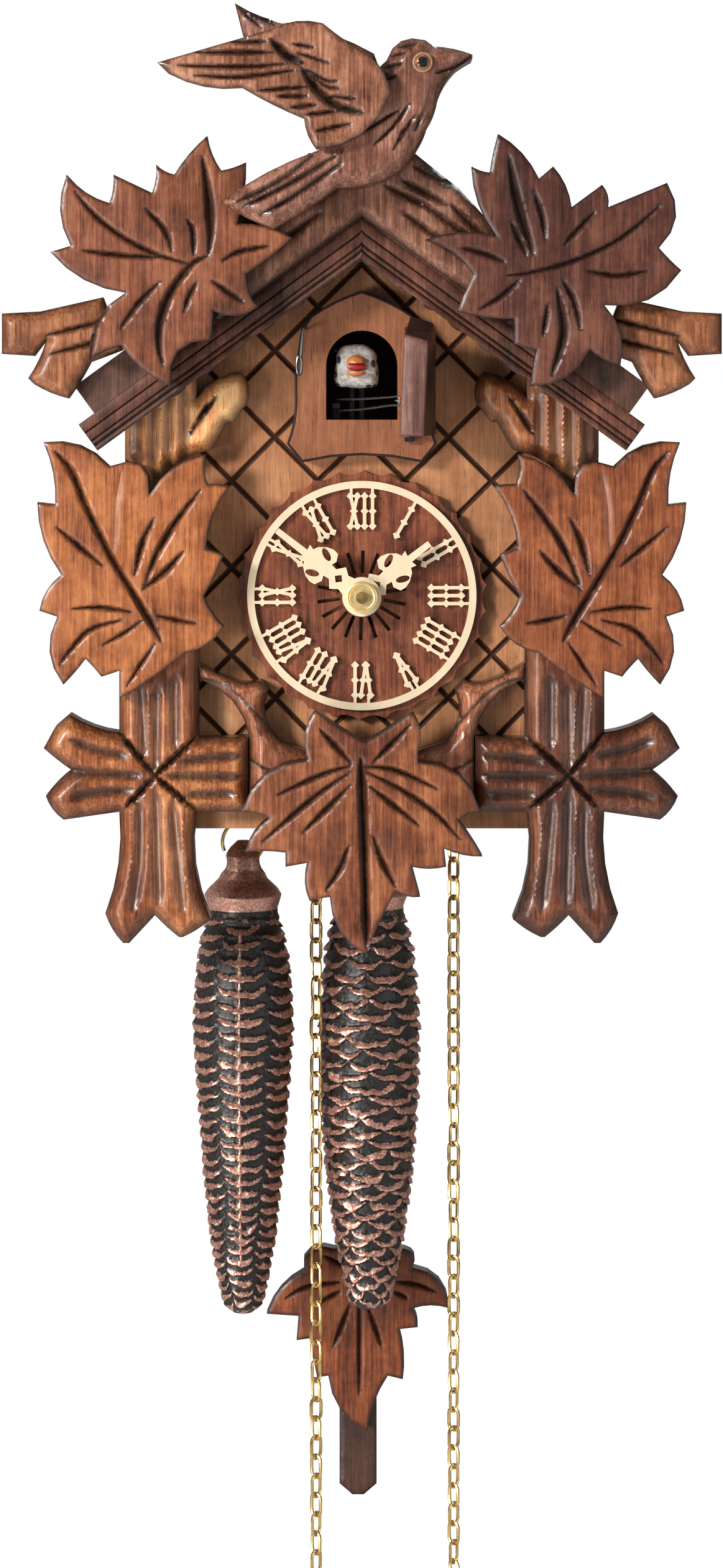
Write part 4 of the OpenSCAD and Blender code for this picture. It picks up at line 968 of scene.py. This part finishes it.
def carved_work():
    # Left and right leaves take painted light and painted shade copies of one wood.
    leaf = dict(edge=(0.9, 0.45, 1.6), step=0.62, crown=1.1, rim=0.75, burn=0.95)
    for name, slot, wood_of, front, back, cuts, seed in (
            ("top_leaf_left", "carved_wood", LEAF_TOP_LEFT_PAINTED_LIGHT, TOP_LEAF_Y, LOG_Y, TOP_LEFT_VEINS, 1.1),
            ("top_leaf_right", "carved_wood", LEAF_TOP_RIGHT_PAINTED_SHADE, TOP_LEAF_Y, LOG_Y, TOP_RIGHT_VEINS, 2.3),
            ("side_leaf_left", "leaf_wood", LEAF_LEFT_PAINTED_LIGHT, SIDE_LEAF_Y, BRANCH_Y, SIDE_VEINS, 3.1),
            ("side_leaf_right", "leaf_wood", LEAF_RIGHT_PAINTED_SHADE, SIDE_LEAF_Y, BRANCH_Y, mirrored(SIDE_VEINS), 4.7),
            ("bottom_leaf", "leaf_wood", LEAF_LOW, BOTTOM_LEAF_Y, BRANCH_Y, BOTTOM_VEINS, 5.2)):
        carve("carved_" + name, name, "case", slot, wood_of, front, back, cuts, seed=seed, **leaf)
    low, high = box_mm("pendulum_leaf")
    carve("carved_pendulum_leaf", "pendulum_leaf", "pendulum", "leaf_wood", PENDULUM_WOOD, low[1], high[1],
          PENDULUM_VEINS, seed=6.4, edge=(0.9, 0.45, 1.6), step=0.55, crown=0.8, rim=1.3)
    # Left and right branches and crosses take painted light and painted shade copies of one wood.
    for node, side, wood_of, flutes, seed in (
            ("side_branches", "left", CROSS_LEFT_PAINTED_LIGHT, CROSS_FLUTES, 7.9),
            ("side_branches", "right", CROSS_RIGHT_PAINTED_SHADE, mirrored(CROSS_FLUTES), 6.1),
            ("upper_branches", "left", BRANCH_LEFT_PAINTED_LIGHT, UPPER_FLUTES, 8.3),
            ("upper_branches", "right", BRANCH_RIGHT_PAINTED_SHADE, mirrored(UPPER_FLUTES), 5.4)):
        half = [loop for loop in loops_at(node, BRANCH_Y)
                if (np.mean([p[0] for p in loop]) < 0) == (side == "left")]
        carve("carved_%s_branch_%s" % (node.split("_")[0], side), node, "case", "carved_wood", wood_of,
              BRANCH_Y, FACADE_Y, flutes, seed=seed, loops=half, edge=(3.2, 2.6, 1.25), step=0.8, rim=2.6,
              burn=0.9, valley=0.1, cut_shade_gain=1.9)
    carve("carved_lower_branch", "lower_branch", "case", "carved_wood", ANTLER, BRANCH_Y, FACADE_Y,
          ANTLER_CUTS + mirrored(ANTLER_CUTS), seed=9.5, edge=(2.8, 2.4, 1.1), step=0.8, rim=1.6, burn=0.95,
          cut_shade_gain=1.6)
    burnt_frame_edge()
    front = front_of("pendulum_rod")
    carve("carved_pendulum_stick", "pendulum_rod", "pendulum", "dark_wood", STICK, front, front + 3.4,
          seed=17.8, edge=(0.6, 0.6, 1.2), step=0.9, rim=0.6)
    low, high = box_mm("eave_twigs")
    carve("carved_eave_twigs", "eave_twigs", "case", "carved_wood", TWIG, low[1], high[1],
          TWIG_CUTS + mirrored(TWIG_CUTS), seed=10.2, edge=(2.6, 1.9, 1.3), step=0.8, rim=1.0, burn=0.9)
    carve("carved_crown_logs", "crown_logs", "case", "dark_wood", CROWN, LOG_Y, FASCIA_Y,
          CROWN_CUTS + mirrored(CROWN_CUTS), seed=11.7, edge=(2.4, 1.8, 1.4), step=0.8, rim=1.0)
    carve("carved_gable_trim", "gable_trim", "case", "dark_wood", VALANCE, TRIM_Y, TRIM_Y + 3,
          seed=12.1, edge=(0.8, 0.6, 1.2), step=0.9, rim=0.0)


def bird():
    carve("carved_bird_body", "carved_bird", "case", "carved_wood", BIRD, BIRD_Y, box_mm("carved_bird")[1][1],
          BODY_CUTS, seed=13.3, edge=(4.5, 3.4, 1.9), step=0.6, rim=0.6, burn=0.7)
    carve("carved_near_wing", "bird_wings", "case", "carved_wood", WING, WING_Y, BIRD_Y,
          NEAR_WING_CUTS, seed=14.9, edge=(1.6, 1.0, 1.4), step=0.6, rim=0.7, burn=0.8)
    back = box_mm("bird_wings")[1][1]
    carve("carved_far_wing", "bird_wings", "case", "carved_wood", BIRD, back - 5, back,
          FAR_WING_CUTS, seed=15.4, edge=(1.8, 1.2, 1.4), step=0.7, rim=0.7, burn=0.8)


carved_work()
bird()


# ---- Roof ----

def fascia_moulding():
    """Ribs and V grooves along the fascia, in front of each roof board."""
    c, s = math.cos(ROOF_SLOPE), math.sin(ROOF_SLOPE)
    grooves_at = (2.8, 5.3, 6.6)
    section = [(0.1, 0.0), (0.1, -0.35), (0.6, -0.6), (1.6, -0.75), (2.5, -0.6), (2.8, -0.15), (3.1, -0.55),
               (4.0, -0.72), (5.0, -0.55), (5.3, -0.1), (5.6, -0.45), (5.95, -0.6), (6.3, -0.45),
               (6.6, -0.05), (7.0, -0.5), (7.6, -0.7), (8.05, -0.4), (8.1, 0.0)]
    run = box_mm("roof_boards")[1][0] / c - 1.2
    steps = 60
    for side, sign in (("left", -1), ("right", 1)):
        verts = []
        for k in range(steps + 1):
            d = run * k / steps
            for n, out in section:
                x = sign * (d * c - n * s)
                ripple = 0.05 * noise.noise(Vector((d / 4, n, sign)))
                verts.append((max(x, 0.0) if sign > 0 else min(x, 0.0), FASCIA_Y + out + ripple,
                              PEAK_Z - d * s - n * c))
        # Painted shade: full in the V grooves, and a quarter on the lower band of the moulding, as shadow
        # under the ribs.
        dark = [1.0 if n in grooves_at else 0.25 if n > 5.4 else 0.0 for n, _ in section] * (steps + 1)
        piece("fascia_moulding_" + side, verts, quads(steps + 1, len(section)), "case", "dark_wood", FASCIA,
              (), 25, cut=dark, rim=[0.0] * len(verts))


fascia_moulding()


# ---- Weights ----

# Each body is (height, share of the radius) from the tip up; pitch is the step of the lips, low and high
WEIGHTS = {
    "left": dict(pitch=(2.7, 3.9), sag=2.0, stagger=0.0, offset=0.45, drift=0.16, seed=1.0, seam=True, body=(
        (0.3, 0.2), (2.4, 0.40), (6, 0.47), (11, 0.54), (19.5, 0.66), (36, 0.79), (55, 0.90))),
    "right": dict(pitch=(2.2, 3.4), sag=2.3, stagger=0.5, offset=0.0, drift=0.3, seed=9.0, seam=False, body=(
        (0.3, 0.24), (2.4, 0.43), (6, 0.5), (11, 0.57), (19.5, 0.70), (36, 0.86), (55, 0.97)))}
NECK = ((74, 1), (81.5, 0.98), (91.5, 0.92), (99.8, 0.82), (104.4, 0.66), (106.2, 0.66), (109.4, 0.74),
        (111, 0.66), (113.5, 0.47), (116, 0.38), (119.5, 0.35), (121.6, 0.25), (123.4, 0.12))
COLUMNS = 6
SCALE_TOP = 103.6
SEAM_AT = math.radians(267)
EYE_DROP = 6
EYE_HOLE = 2.6


def scale(look, lips, turn, h, drift, wave):
    """How far a point is above the lip of its scale, the scale's lift there, and its width."""
    for row in range(len(lips) - 1, -1, -1):
        u = (turn + 0.25) * COLUMNS + look["stagger"] * (row % 2) + look["drift"] * drift + 0.5
        column = math.floor(u)
        across = 2 * (u - column) - 1
        pitch = lips[min(row + 1, len(lips) - 1)] - lips[row]
        lip = lips[row] + look["offset"] * pitch * (column % 2) + 0.8 * wave
        lip += look["sag"] * (across * across - 0.5)
        if h >= lip:
            return h - lip, 1 - 0.9 * abs(across) ** 4, 1.55 - 0.7 * across * across
    return 9.0, 0.0, 1.0


def cone_weight(side, sides=210, rows=420):
    """A cast pine cone: rows of scales whose lips sag like smiles, then a smooth neck and the eye."""
    look = WEIGHTS[side]
    x, y, _ = middle("weight_" + side)
    radius = half_size("weight_" + side)[0]
    low, high = box_mm("weight_" + side)
    foot, tall = low[2], high[2] - low[2]
    heights, shares = np.array(((0, 0),) + look["body"] + NECK, float).T
    fine, wide = look["pitch"]
    lips = [-2.0]
    while lips[-1] < SCALE_TOP + 2:
        lips.append(lips[-1] + fine + (wide - fine) * max(lips[-1], 0) / 85)
    rings, ridge = [[(x, y, foot)]], [0.3]
    for k in range(1, rows + 1):
        h = tall * k / rows
        base = radius * float(np.interp(h, heights, shares))
        cover = max(0.0, min(1.0, (SCALE_TOP - h) / 1.6)) * min(1.0, h / 3.0)
        ring = []
        for i in range(sides):
            a = TAU * i / sides
            c, s = math.cos(a), math.sin(a)

            def rough(round_scale, h_scale):
                return noise.noise(Vector((c * round_scale, s * round_scale, h / h_scale + look["seed"])))

            above, lift, width = scale(look, lips, a / TAU, h, rough(1.7, 9), rough(base / 2.6, 3.2))
            width *= 0.72 + 0.28 * min(base / radius, 1)
            bump = lift * math.exp(-(above / width) ** 2.6)
            grit = rough(base / 0.8, 0.8)
            soft = rough(2, 3)
            deep = min(1.25, 0.14 * base)
            r = base - deep * cover * (1 - bump) + 0.12 * grit * cover + 0.15 * soft * (1 - cover) - 0.12
            shine = bump + 0.16 * grit
            if look["seam"] and 14 < h < 101:
                line = math.exp(-((a - SEAM_AT) * base / 0.45) ** 2)
                r += 0.5 * line * (1 - bump)
                shine = max(shine, 0.75 * line)
            eye = math.hypot(h - (tall - EYE_DROP), s * base)
            pit = eye < EYE_HOLE and abs(c) > 0.5
            if pit:
                r -= 2.8 * (1 - (eye / EYE_HOLE) ** 4)
            r = min(max(r, 0.15), radius)
            ring.append((x + r * c, y + r * s, foot + h))
            neck = 1.45 + 1.1 * soft if h > 106 else 0.25
            ridge.append(0.0 if pit else shine * cover + (1 - cover) * neck)
        rings.append(ring)
    verts, faces = lathe(rings, sides)
    faces.append([len(verts) - sides + i for i in range(sides)])
    piece("cast_weight_" + side, verts, faces, side + "_weight", "cast_weight", COPPER, ("weight_" + side,),
          60, ridge=ridge)


def weight_hook(side):
    """A flat brass strip bent through the weight's eye and the last link of the chain."""
    node = "weight_chain_" + side
    x, y, _ = middle(node)
    low, high = box_mm(node)
    ring, steps = 5.4, 32
    z = low[2] + ring + 1.0
    path = []
    for k in range(steps + 1):
        a = math.radians(205 - 318 * k / steps)
        path.append((x + ring * math.cos(a), y, z + ring * math.sin(a)))
    hook = tube(path, 0.9, 12, flat=0.5, up=(0, 1, 0))
    piece("weight_hook_" + side, *hook, side + "_weight", "brass", BRASS, (node,))
    strand = [(x, y, z + ring + 1.4), (x, y, high[2] + 1)]
    links = chain(resample(strand, 2.0), 21, start=1.2, bend=9)
    piece("weight_links_" + side, *links, side + "_weight", "brass", BRASS, (node,))


def wheel_wraps():
    """The links over the top of each chain wheel, which has room for a whole number of them."""
    parts = []
    for side, wheel, links in (("left", "time_sprocket", 12), ("right", "strike_sprocket", 14)):
        x, _, z = middle(wheel)
        y = middle("chain_" + side)[1]
        radius = links * LINK_PITCH / TAU
        path = [(x + radius * math.cos(a), y, z + radius * math.sin(a))
                for a in np.linspace(0, math.pi, 40)]
        parts.append(chain(path, 5, across=(0, 1, 0)))
    piece("wheel_chain_links", *joined(parts), "case", "brass", BRASS, ("chain_wraps",))


for side in ("left", "right"):
    cone_weight(side)
    weight_hook(side)
wheel_wraps()


# ---- Cuckoo, its door's wire and the latch ----

HEAD_Z = -14.0
HEAD_FRONT = -84.0
MARKS = ((-4.4, 1.6, 0.42, 0.85, 1.3), (4.2, 0.6, 0.5, 0.9, 1.3), (-5.1, -2.2, 0.35, 0.7, 2.1),
         (5.2, -1.8, 0.3, 0.6, 2.4), (3.0, -4.9, 0.6, 0.5, 1.8), (4.3, -4.7, 0.55, 0.6, 2.6),
         (-4.6, -4.7, 0.45, 0.5, 2.4), (-5.2, 4.0, 0.3, 0.5, 3.2))


def cuckoo_head():
    """A blocky painted head with black brush marks."""
    cx = middle("cuckoo_body")[0]
    half = half_size("cuckoo_body")[0]
    rings, sides = [], 56
    for t, share in ((0.0, 0.001), (0.05, 0.35), (0.25, 0.66), (0.8, 0.86), (1.8, 0.96), (3.2, 1.0),
                     (5.5, 0.98), (7.5, 0.92), (9.5, 0.8), (11.5, 0.62), (14, 0.45), (14.8, 0.2)):
        ring = []
        for k in range(sides):
            a = TAU * k / sides
            c, s = math.cos(a), math.sin(a)
            power = 2.5 if s > 0 else 6.5
            block = (abs(c) ** power + abs(s) ** power) ** (-1 / power)
            waist = 1 - 0.09 * math.exp(-((s - 0.2) / 0.16) ** 2) * abs(c)
            lump = 0.3 * noise.noise(Vector((c * 3, s * 3, t / 2)))
            pinch = 0.06 * math.cos(3 * a) * share
            r = half * share * block * waist * 0.97 + lump * share
            ring.append((cx + r * c, HEAD_FRONT + t + 0.1 * lump, HEAD_Z + 0.1 + r * s + pinch))
        rings.append(ring)
    verts, faces = lathe(rings, sides)
    faces.append(list(range(sides))[::-1])
    faces.append([len(verts) - sides + i for i in range(sides)])
    piece("cuckoo_head", verts, faces, "cuckoo", "bird_plastic", WHITE, ("cuckoo_body",), 50)
    points, skin = turned([(0, -0.45), (0.6, -0.35), (0.95, 0), (1, 0.4), (0.001, 0.9)], (0, 0, 0), 16)
    dabs = [([(cx + dx + x * wide * 1.2, HEAD_FRONT + deep - 0.75 + y * 0.8, HEAD_Z + dz + z * tall * 1.15)
              for x, y, z in points], skin) for dx, dz, wide, tall, deep in MARKS]
    piece("cuckoo_marks", *joined(dabs), "cuckoo", "bird_plastic", BLACK)


def cuckoo_beak():
    """Orange lips that part on a red mouth, and a red throat behind them."""
    cx = middle("cuckoo_body")[0]
    rows, count = 9, 25
    for name, sign, split, tall, back, reach, body, node in (
            ("upper", 1, 0.75, 2.9, 0.15, 3.0, "cuckoo", "cuckoo_body"),
            ("lower", -1, -1.35, 2.6, -0.7, 2.3, "beak", "cuckoo_beak")):
        middle_z = HEAD_Z + split
        verts = []
        for t in np.linspace(0, 1, rows):
            swell = math.sqrt(max(1 - t ** 2.2, 0.0004))
            for k in range(count):
                a = math.pi * k / (count - 1)
                verts.append((cx + 2.55 * math.cos(a) * swell, HEAD_FRONT + back - reach * t,
                              middle_z + sign * (tall - abs(split)) * math.sin(a) * swell))
        piece("beak_" + name, verts, quads(rows, count), body, "beak_plastic", ORANGE, (node,), 60)
        mouth = []
        for i in range(rows):
            right, left = [cx + (verts[k][0] - cx) * 0.97 for k in (i * count, i * count + count - 1)]
            y, z = verts[i * count][1] + 0.1, middle_z + sign * 0.12
            dip = sign * 0.3 * math.sin(math.pi * min(i + 1, 8) / 9)
            mouth += [(left, y, z), ((left + right) / 2, y, z + dip), (right, y, z)]
        piece("mouth_" + name, mouth, quads(rows, 3), body, "beak_plastic", RED, (), 60)
    points, skin = turned([(0, 0), (1.5, 0.12), (2.3, 0.5), (2.45, 1.0), (2.4, 1.6), (0, 1.6)],
                          (cx, HEAD_FRONT - 1.1, 0), 32)
    throat = [(x, y, HEAD_Z - 0.1 + 0.44 * z) for x, y, z in points]
    piece("cuckoo_throat", throat, skin, "cuckoo", "beak_plastic", RED)


def door_point(x, y, z=STAPLE_Z):
    """A point of the shut door, from its hinge, as the open door has it."""
    pin_x, pin_y = middle("door_hinge_pins")[0], front_of("door_hinge_pins") + 1.2
    c, s = math.cos(DOOR_OPEN), math.sin(DOOR_OPEN)
    return np.array((pin_x + x * c - y * s, pin_y + x * s + y * c, z))


def door_leaf():
    """A thick door with a slanted top; its top and outer face are painted darker as shade. It is rebated at
    the hinge, where the pins sit.
    """
    foot, peak, wide = box_mm("cuckoo_door")[0][2], box_mm("cuckoo_door")[1][2], 24.0
    stations = ((0.0, 0.7), (0.12, 0.35), (0.4, 0.12), (0.8, 0), (1.2, 0), (4, 0), (8, 0), (12, 0), (16, 0),
                (19.8, 0), (20.2, 0), (22.4, 0), (22.7, 0), (23.7, 0), (24, 0.3))
    outer, r = -6.6, 0.55
    verts, dark = [], []
    for place, inset in stations:
        x = place - wide + 0.7
        inner = 0.7 if 20 < place < 22.5 else -0.68 if place > 22.5 else -0.5
        top = peak - abs(place - wide / 2) * 0.408
        lean = 0.9 if place < 19 else 0.0
        # side marks the top and outer face for painted shade, all but the free edge.
        side = 1.0 if place > 1.0 else 0.0
        section = [(inner - r, foot, 0), (inner - 0.15, foot + 0.15, 0), (inner, foot + r, 0),
                   (inner - lean, top - r, 0), (inner - lean - 0.15, top - 0.15, 0.3),
                   (inner - lean - r, top, side), (outer - lean + r, top - 1.5, side),
                   (outer - lean + 0.15, top - 1.7, side * 0.8), (outer - lean, top - 1.5 - r, side),
                   (outer, foot + r, side), (outer + 0.15, foot + 0.15, side), (outer + r, foot, side)]
        centre_y, centre_z = (inner + outer) / 2, (foot + top) / 2
        for y, z, scorch_and_shade in section:
            verts.append(tuple(door_point(x, y + math.copysign(inset, centre_y - y),
                                          z + math.copysign(inset, centre_z - z))))
            # Painted shade on the door, through the cut attribute.
            dark.append(0.82 * scorch_and_shade)
    m = len(section)
    faces = quads(len(stations), m, wrap=True)
    faces += [list(range(m)), [len(verts) - m + i for i in range(m)][::-1]]
    piece("cuckoo_door_leaf", verts, faces, "door", "facade_wood", DOOR_WOOD, ("cuckoo_door",), 30,
          cut=dark, rim=[0.0] * len(verts))


def staple_eye():
    return door_point(STAPLE_X, 1.5)


def staple():
    """A ring on a short shank in the door, for the wire's loop."""
    ring = [staple_eye() + np.array((1.05 * math.cos(a), 1.05 * math.sin(a), 0))
            for a in np.linspace(0, TAU, 25)[:-1]]
    shank = [door_point(STAPLE_X, y) for y in (-1.6, 0.0, 0.65)]
    parts = [tube(ring, 0.24, 8, closed=True, up=(0, 0, 1)), tube(shank, 0.28, 8)]
    piece("door_staple", *joined(parts), "door", "steel", STEEL, ("cuckoo_door",))


def latch_hook():
    """The latch's bent wire, with an eye at its foot."""
    low, high = box_mm("latch_wire")
    x, top, foot = (low[0] + high[0]) / 2, high[2] - 0.6, low[2]
    y = low[1] + 0.6
    path = [(x + 1.1, y + 7.2, top - 0.2), (x + 1.0, y + 3, top - 0.1), (x + 0.9, y + 0.9, top),
            (x + 0.5, y + 0.25, top + 0.1), (x + 0.2, y, top - 0.6), (x + 0.1, y, top - 2),
            (x - 0.1, y, (top + foot) / 2 + 1), (x - 0.2, y, foot + 4.4)]
    loop = []
    for k in range(25):
        a = math.radians(80 - 350 * k / 24)
        loop.append((x - 0.62 + 0.58 * math.cos(a), y + 0.2 * math.sin(a / 2), foot + 2 + 2.3 * math.sin(a)))
    wire = tube(np.vstack([curve_through(path, 0.35), loop]), 0.42, 10)
    piece("latch_hook", *wire, "latch", "steel", GREY_WIRE, ("latch_wire",))


def door_hairpin():
    """The doubled wire from the cuckoo's carriage, bent round the staple."""
    low, high = box_mm("door_wire")
    start = np.array((low[0] + 0.6, high[1] - 0.4, STAPLE_Z))
    end = staple_eye()
    run = (end - start) / np.linalg.norm(end - start)
    across = np.array((0, 0, 1.0))
    bend = end - run * 0.9
    tip = [bend + run * 0.9 * math.cos(a) + across * 1.1 * math.sin(a)
           for a in np.linspace(-math.pi / 2, math.pi / 2, 13)]
    upper = [start + across * 0.2, start + run * 8 + across * 0.3, end - run * 5 + across * 0.75, tip[-1]]
    lower = [tip[0], end - run * 4 - across * 1.3, start + run * 9 - across * 2.2,
             start + run * 0.6 - across * 2.7]
    path = np.vstack([curve_through(lower[::-1], 0.5), tip, curve_through(upper[::-1], 0.5)])
    piece("door_hairpin", *tube(path, 0.29, 8), "wire", "steel", GREY_WIRE, ("door_wire",))


cuckoo_head()
cuckoo_beak()
door_leaf()
staple()
latch_hook()
door_hairpin()


# ---- Pendulum's wire, hand nut and glass eye ----

def pendulum_leader():
    """The wire that carries the stick, with an eye on the pivot."""
    low, high = box_mm("pendulum_rod")
    x, y, pivot = (low[0] + high[0]) / 2, low[1] + 2, high[2] - 2.1
    ring = [(x + 1.6 * math.sin(a), y, pivot + 1.6 * math.cos(a)) for a in np.linspace(0, TAU, 29)[:-1]]
    rod = [(x, y, pivot - 1.5), (x, y, pivot - 40), (x, y, STICK_TOP + 4), (x, y, STICK_TOP - 8)]
    wire = joined([tube(ring, 0.5, 8, closed=True), tube(rod, 0.6, 10)])
    piece("pendulum_wire", *wire, "pendulum", "steel", STEEL, ("pendulum_rod",))


def hand_nut():
    """A round brass nut with a raised rim, and the end of the steel arbor in it."""
    low, high = box_mm("hand_nut")
    x, _, z = middle("hand_nut")
    r, front, deep = (high[0] - low[0]) / 2, low[1], high[1] - low[1]
    profile = [(share * r, down) for share, down in (
        (0, 0.45), (0.28, 0.42), (0.62, 0.36), (0.7, 0.3), (0.74, 0.12), (0.84, 0.02), (0.94, 0.06),
        (0.99, 0.2), (1.0, 0.5))]
    profile += [(r, deep * 0.7), (r * 0.97, deep * 0.92), (r * 0.9, deep * 0.97), (0, deep * 0.97)]
    nut = turned(profile, (x, front, z), 64)
    piece("turned_hand_nut", *nut, "minute_hand_body", "brass", NUT_BRASS, ("hand_nut",))
    pin = turned([(0, 0.0), (0.7, 0.02), (0.88, 0.14), (0.9, 0.3), (0.9, 0.7), (0, 0.7)], (x, front, z), 28)
    piece("arbor_end", *pin, "minute_hand_body", "steel", STEEL)


def eye_of_the_bird():
    """A pale ring of lid, a glassy amber iris and a domed black pupil."""
    x, _, z = middle("bird_eye")
    y, r = box_mm("bird_eye")[1][1], half_size("bird_eye")[0]
    for name, slot, material, profile in (
            ("lid", "carved_wood", LID,
             ((0.98, 0.35), (1.0, -0.2), (0.93, -0.5), (0.82, -0.55), (0.74, -0.3))),
            ("iris", "glass_eye", EYE, ((0.8, -0.1), (0.74, -0.5), (0.6, -0.8), (0.5, -0.93))),
            ("pupil", "glass_eye", BLACK, ((0.54, -0.9), (0.44, -1.03), (0.2, -1.13), (0, -1.16)))):
        form = turned([(r * share, out) for share, out in profile], (x, y, z))
        piece("eye_" + name, *form, "case", slot, material, ("bird_eye",))


pendulum_leader()
hand_nut()
eye_of_the_bird()


# ---- Kept parts ----

for material, bevel, kept in (
        (FACADE, 0.15, ("front_board",)), (CASE, 0.4, ("side_panels", "back_cover")),
        (CASE, 0.3, ("bottom_board", "back_board")), (DIAL_WOOD, 0.25, ("dial_plate",)),
        (CREAM, 0.18, ("chapter_ring",)), (CREAM, 0.22, ("minute_hand", "hour_hand")),
        (FRAME_WOOD, 0.4, ("cuckoo_frame",)), (ROOF, 0.5, ("roof_boards",)),
        (DARK_STEEL, 0.1, ("door_hinge_pins",)), (DARK_STEEL, 0.15, ("bird_arm",)),
        (DARK_STEEL, 0, ("gong",)),
        (BRASS, 0.2, ("front_plate", "back_plate")), (BRASS, 0.15, ("plate_pillars",)),
        (BRASS, 0.1, ("time_sprocket", "strike_sprocket")), (BRASS, 0.08, ("center_wheel", "hour_wheel")),
        (BRASS, 0.06, ("escape_wheel",)), (STEEL, 0.08, ("anchor",)), (STEEL, 0.1, ("gong_hammer",)),
        (PIPE, 0.3, ("whistles", "bellows_lid_left", "bellows_lid_right"))):
    for node in kept:
        dress(node, material, bevel)


# ---- Floor ----

def floor():
    """A pale sheet below the chains, outside the main view."""
    half, near, far = 900.0, -1000.0, 240.0
    level = cad_box[0][2] / MM - 2.5
    verts = [(-half, near, level), (half, near, level), (half, far, level), (-half, far, level)]
    mesh = bpy.data.meshes.new("floor_sheet")
    mesh.from_pydata([tuple(c * MM for c in v) for v in verts], [], [[0, 1, 2, 3]])
    mesh.materials.append(plastic("floor_paper", (0.82, 0.82, 0.81), (0.76, 0.76, 0.75), 0.6))
    show(bpy.data.objects.new("floor_sheet", mesh))


floor()
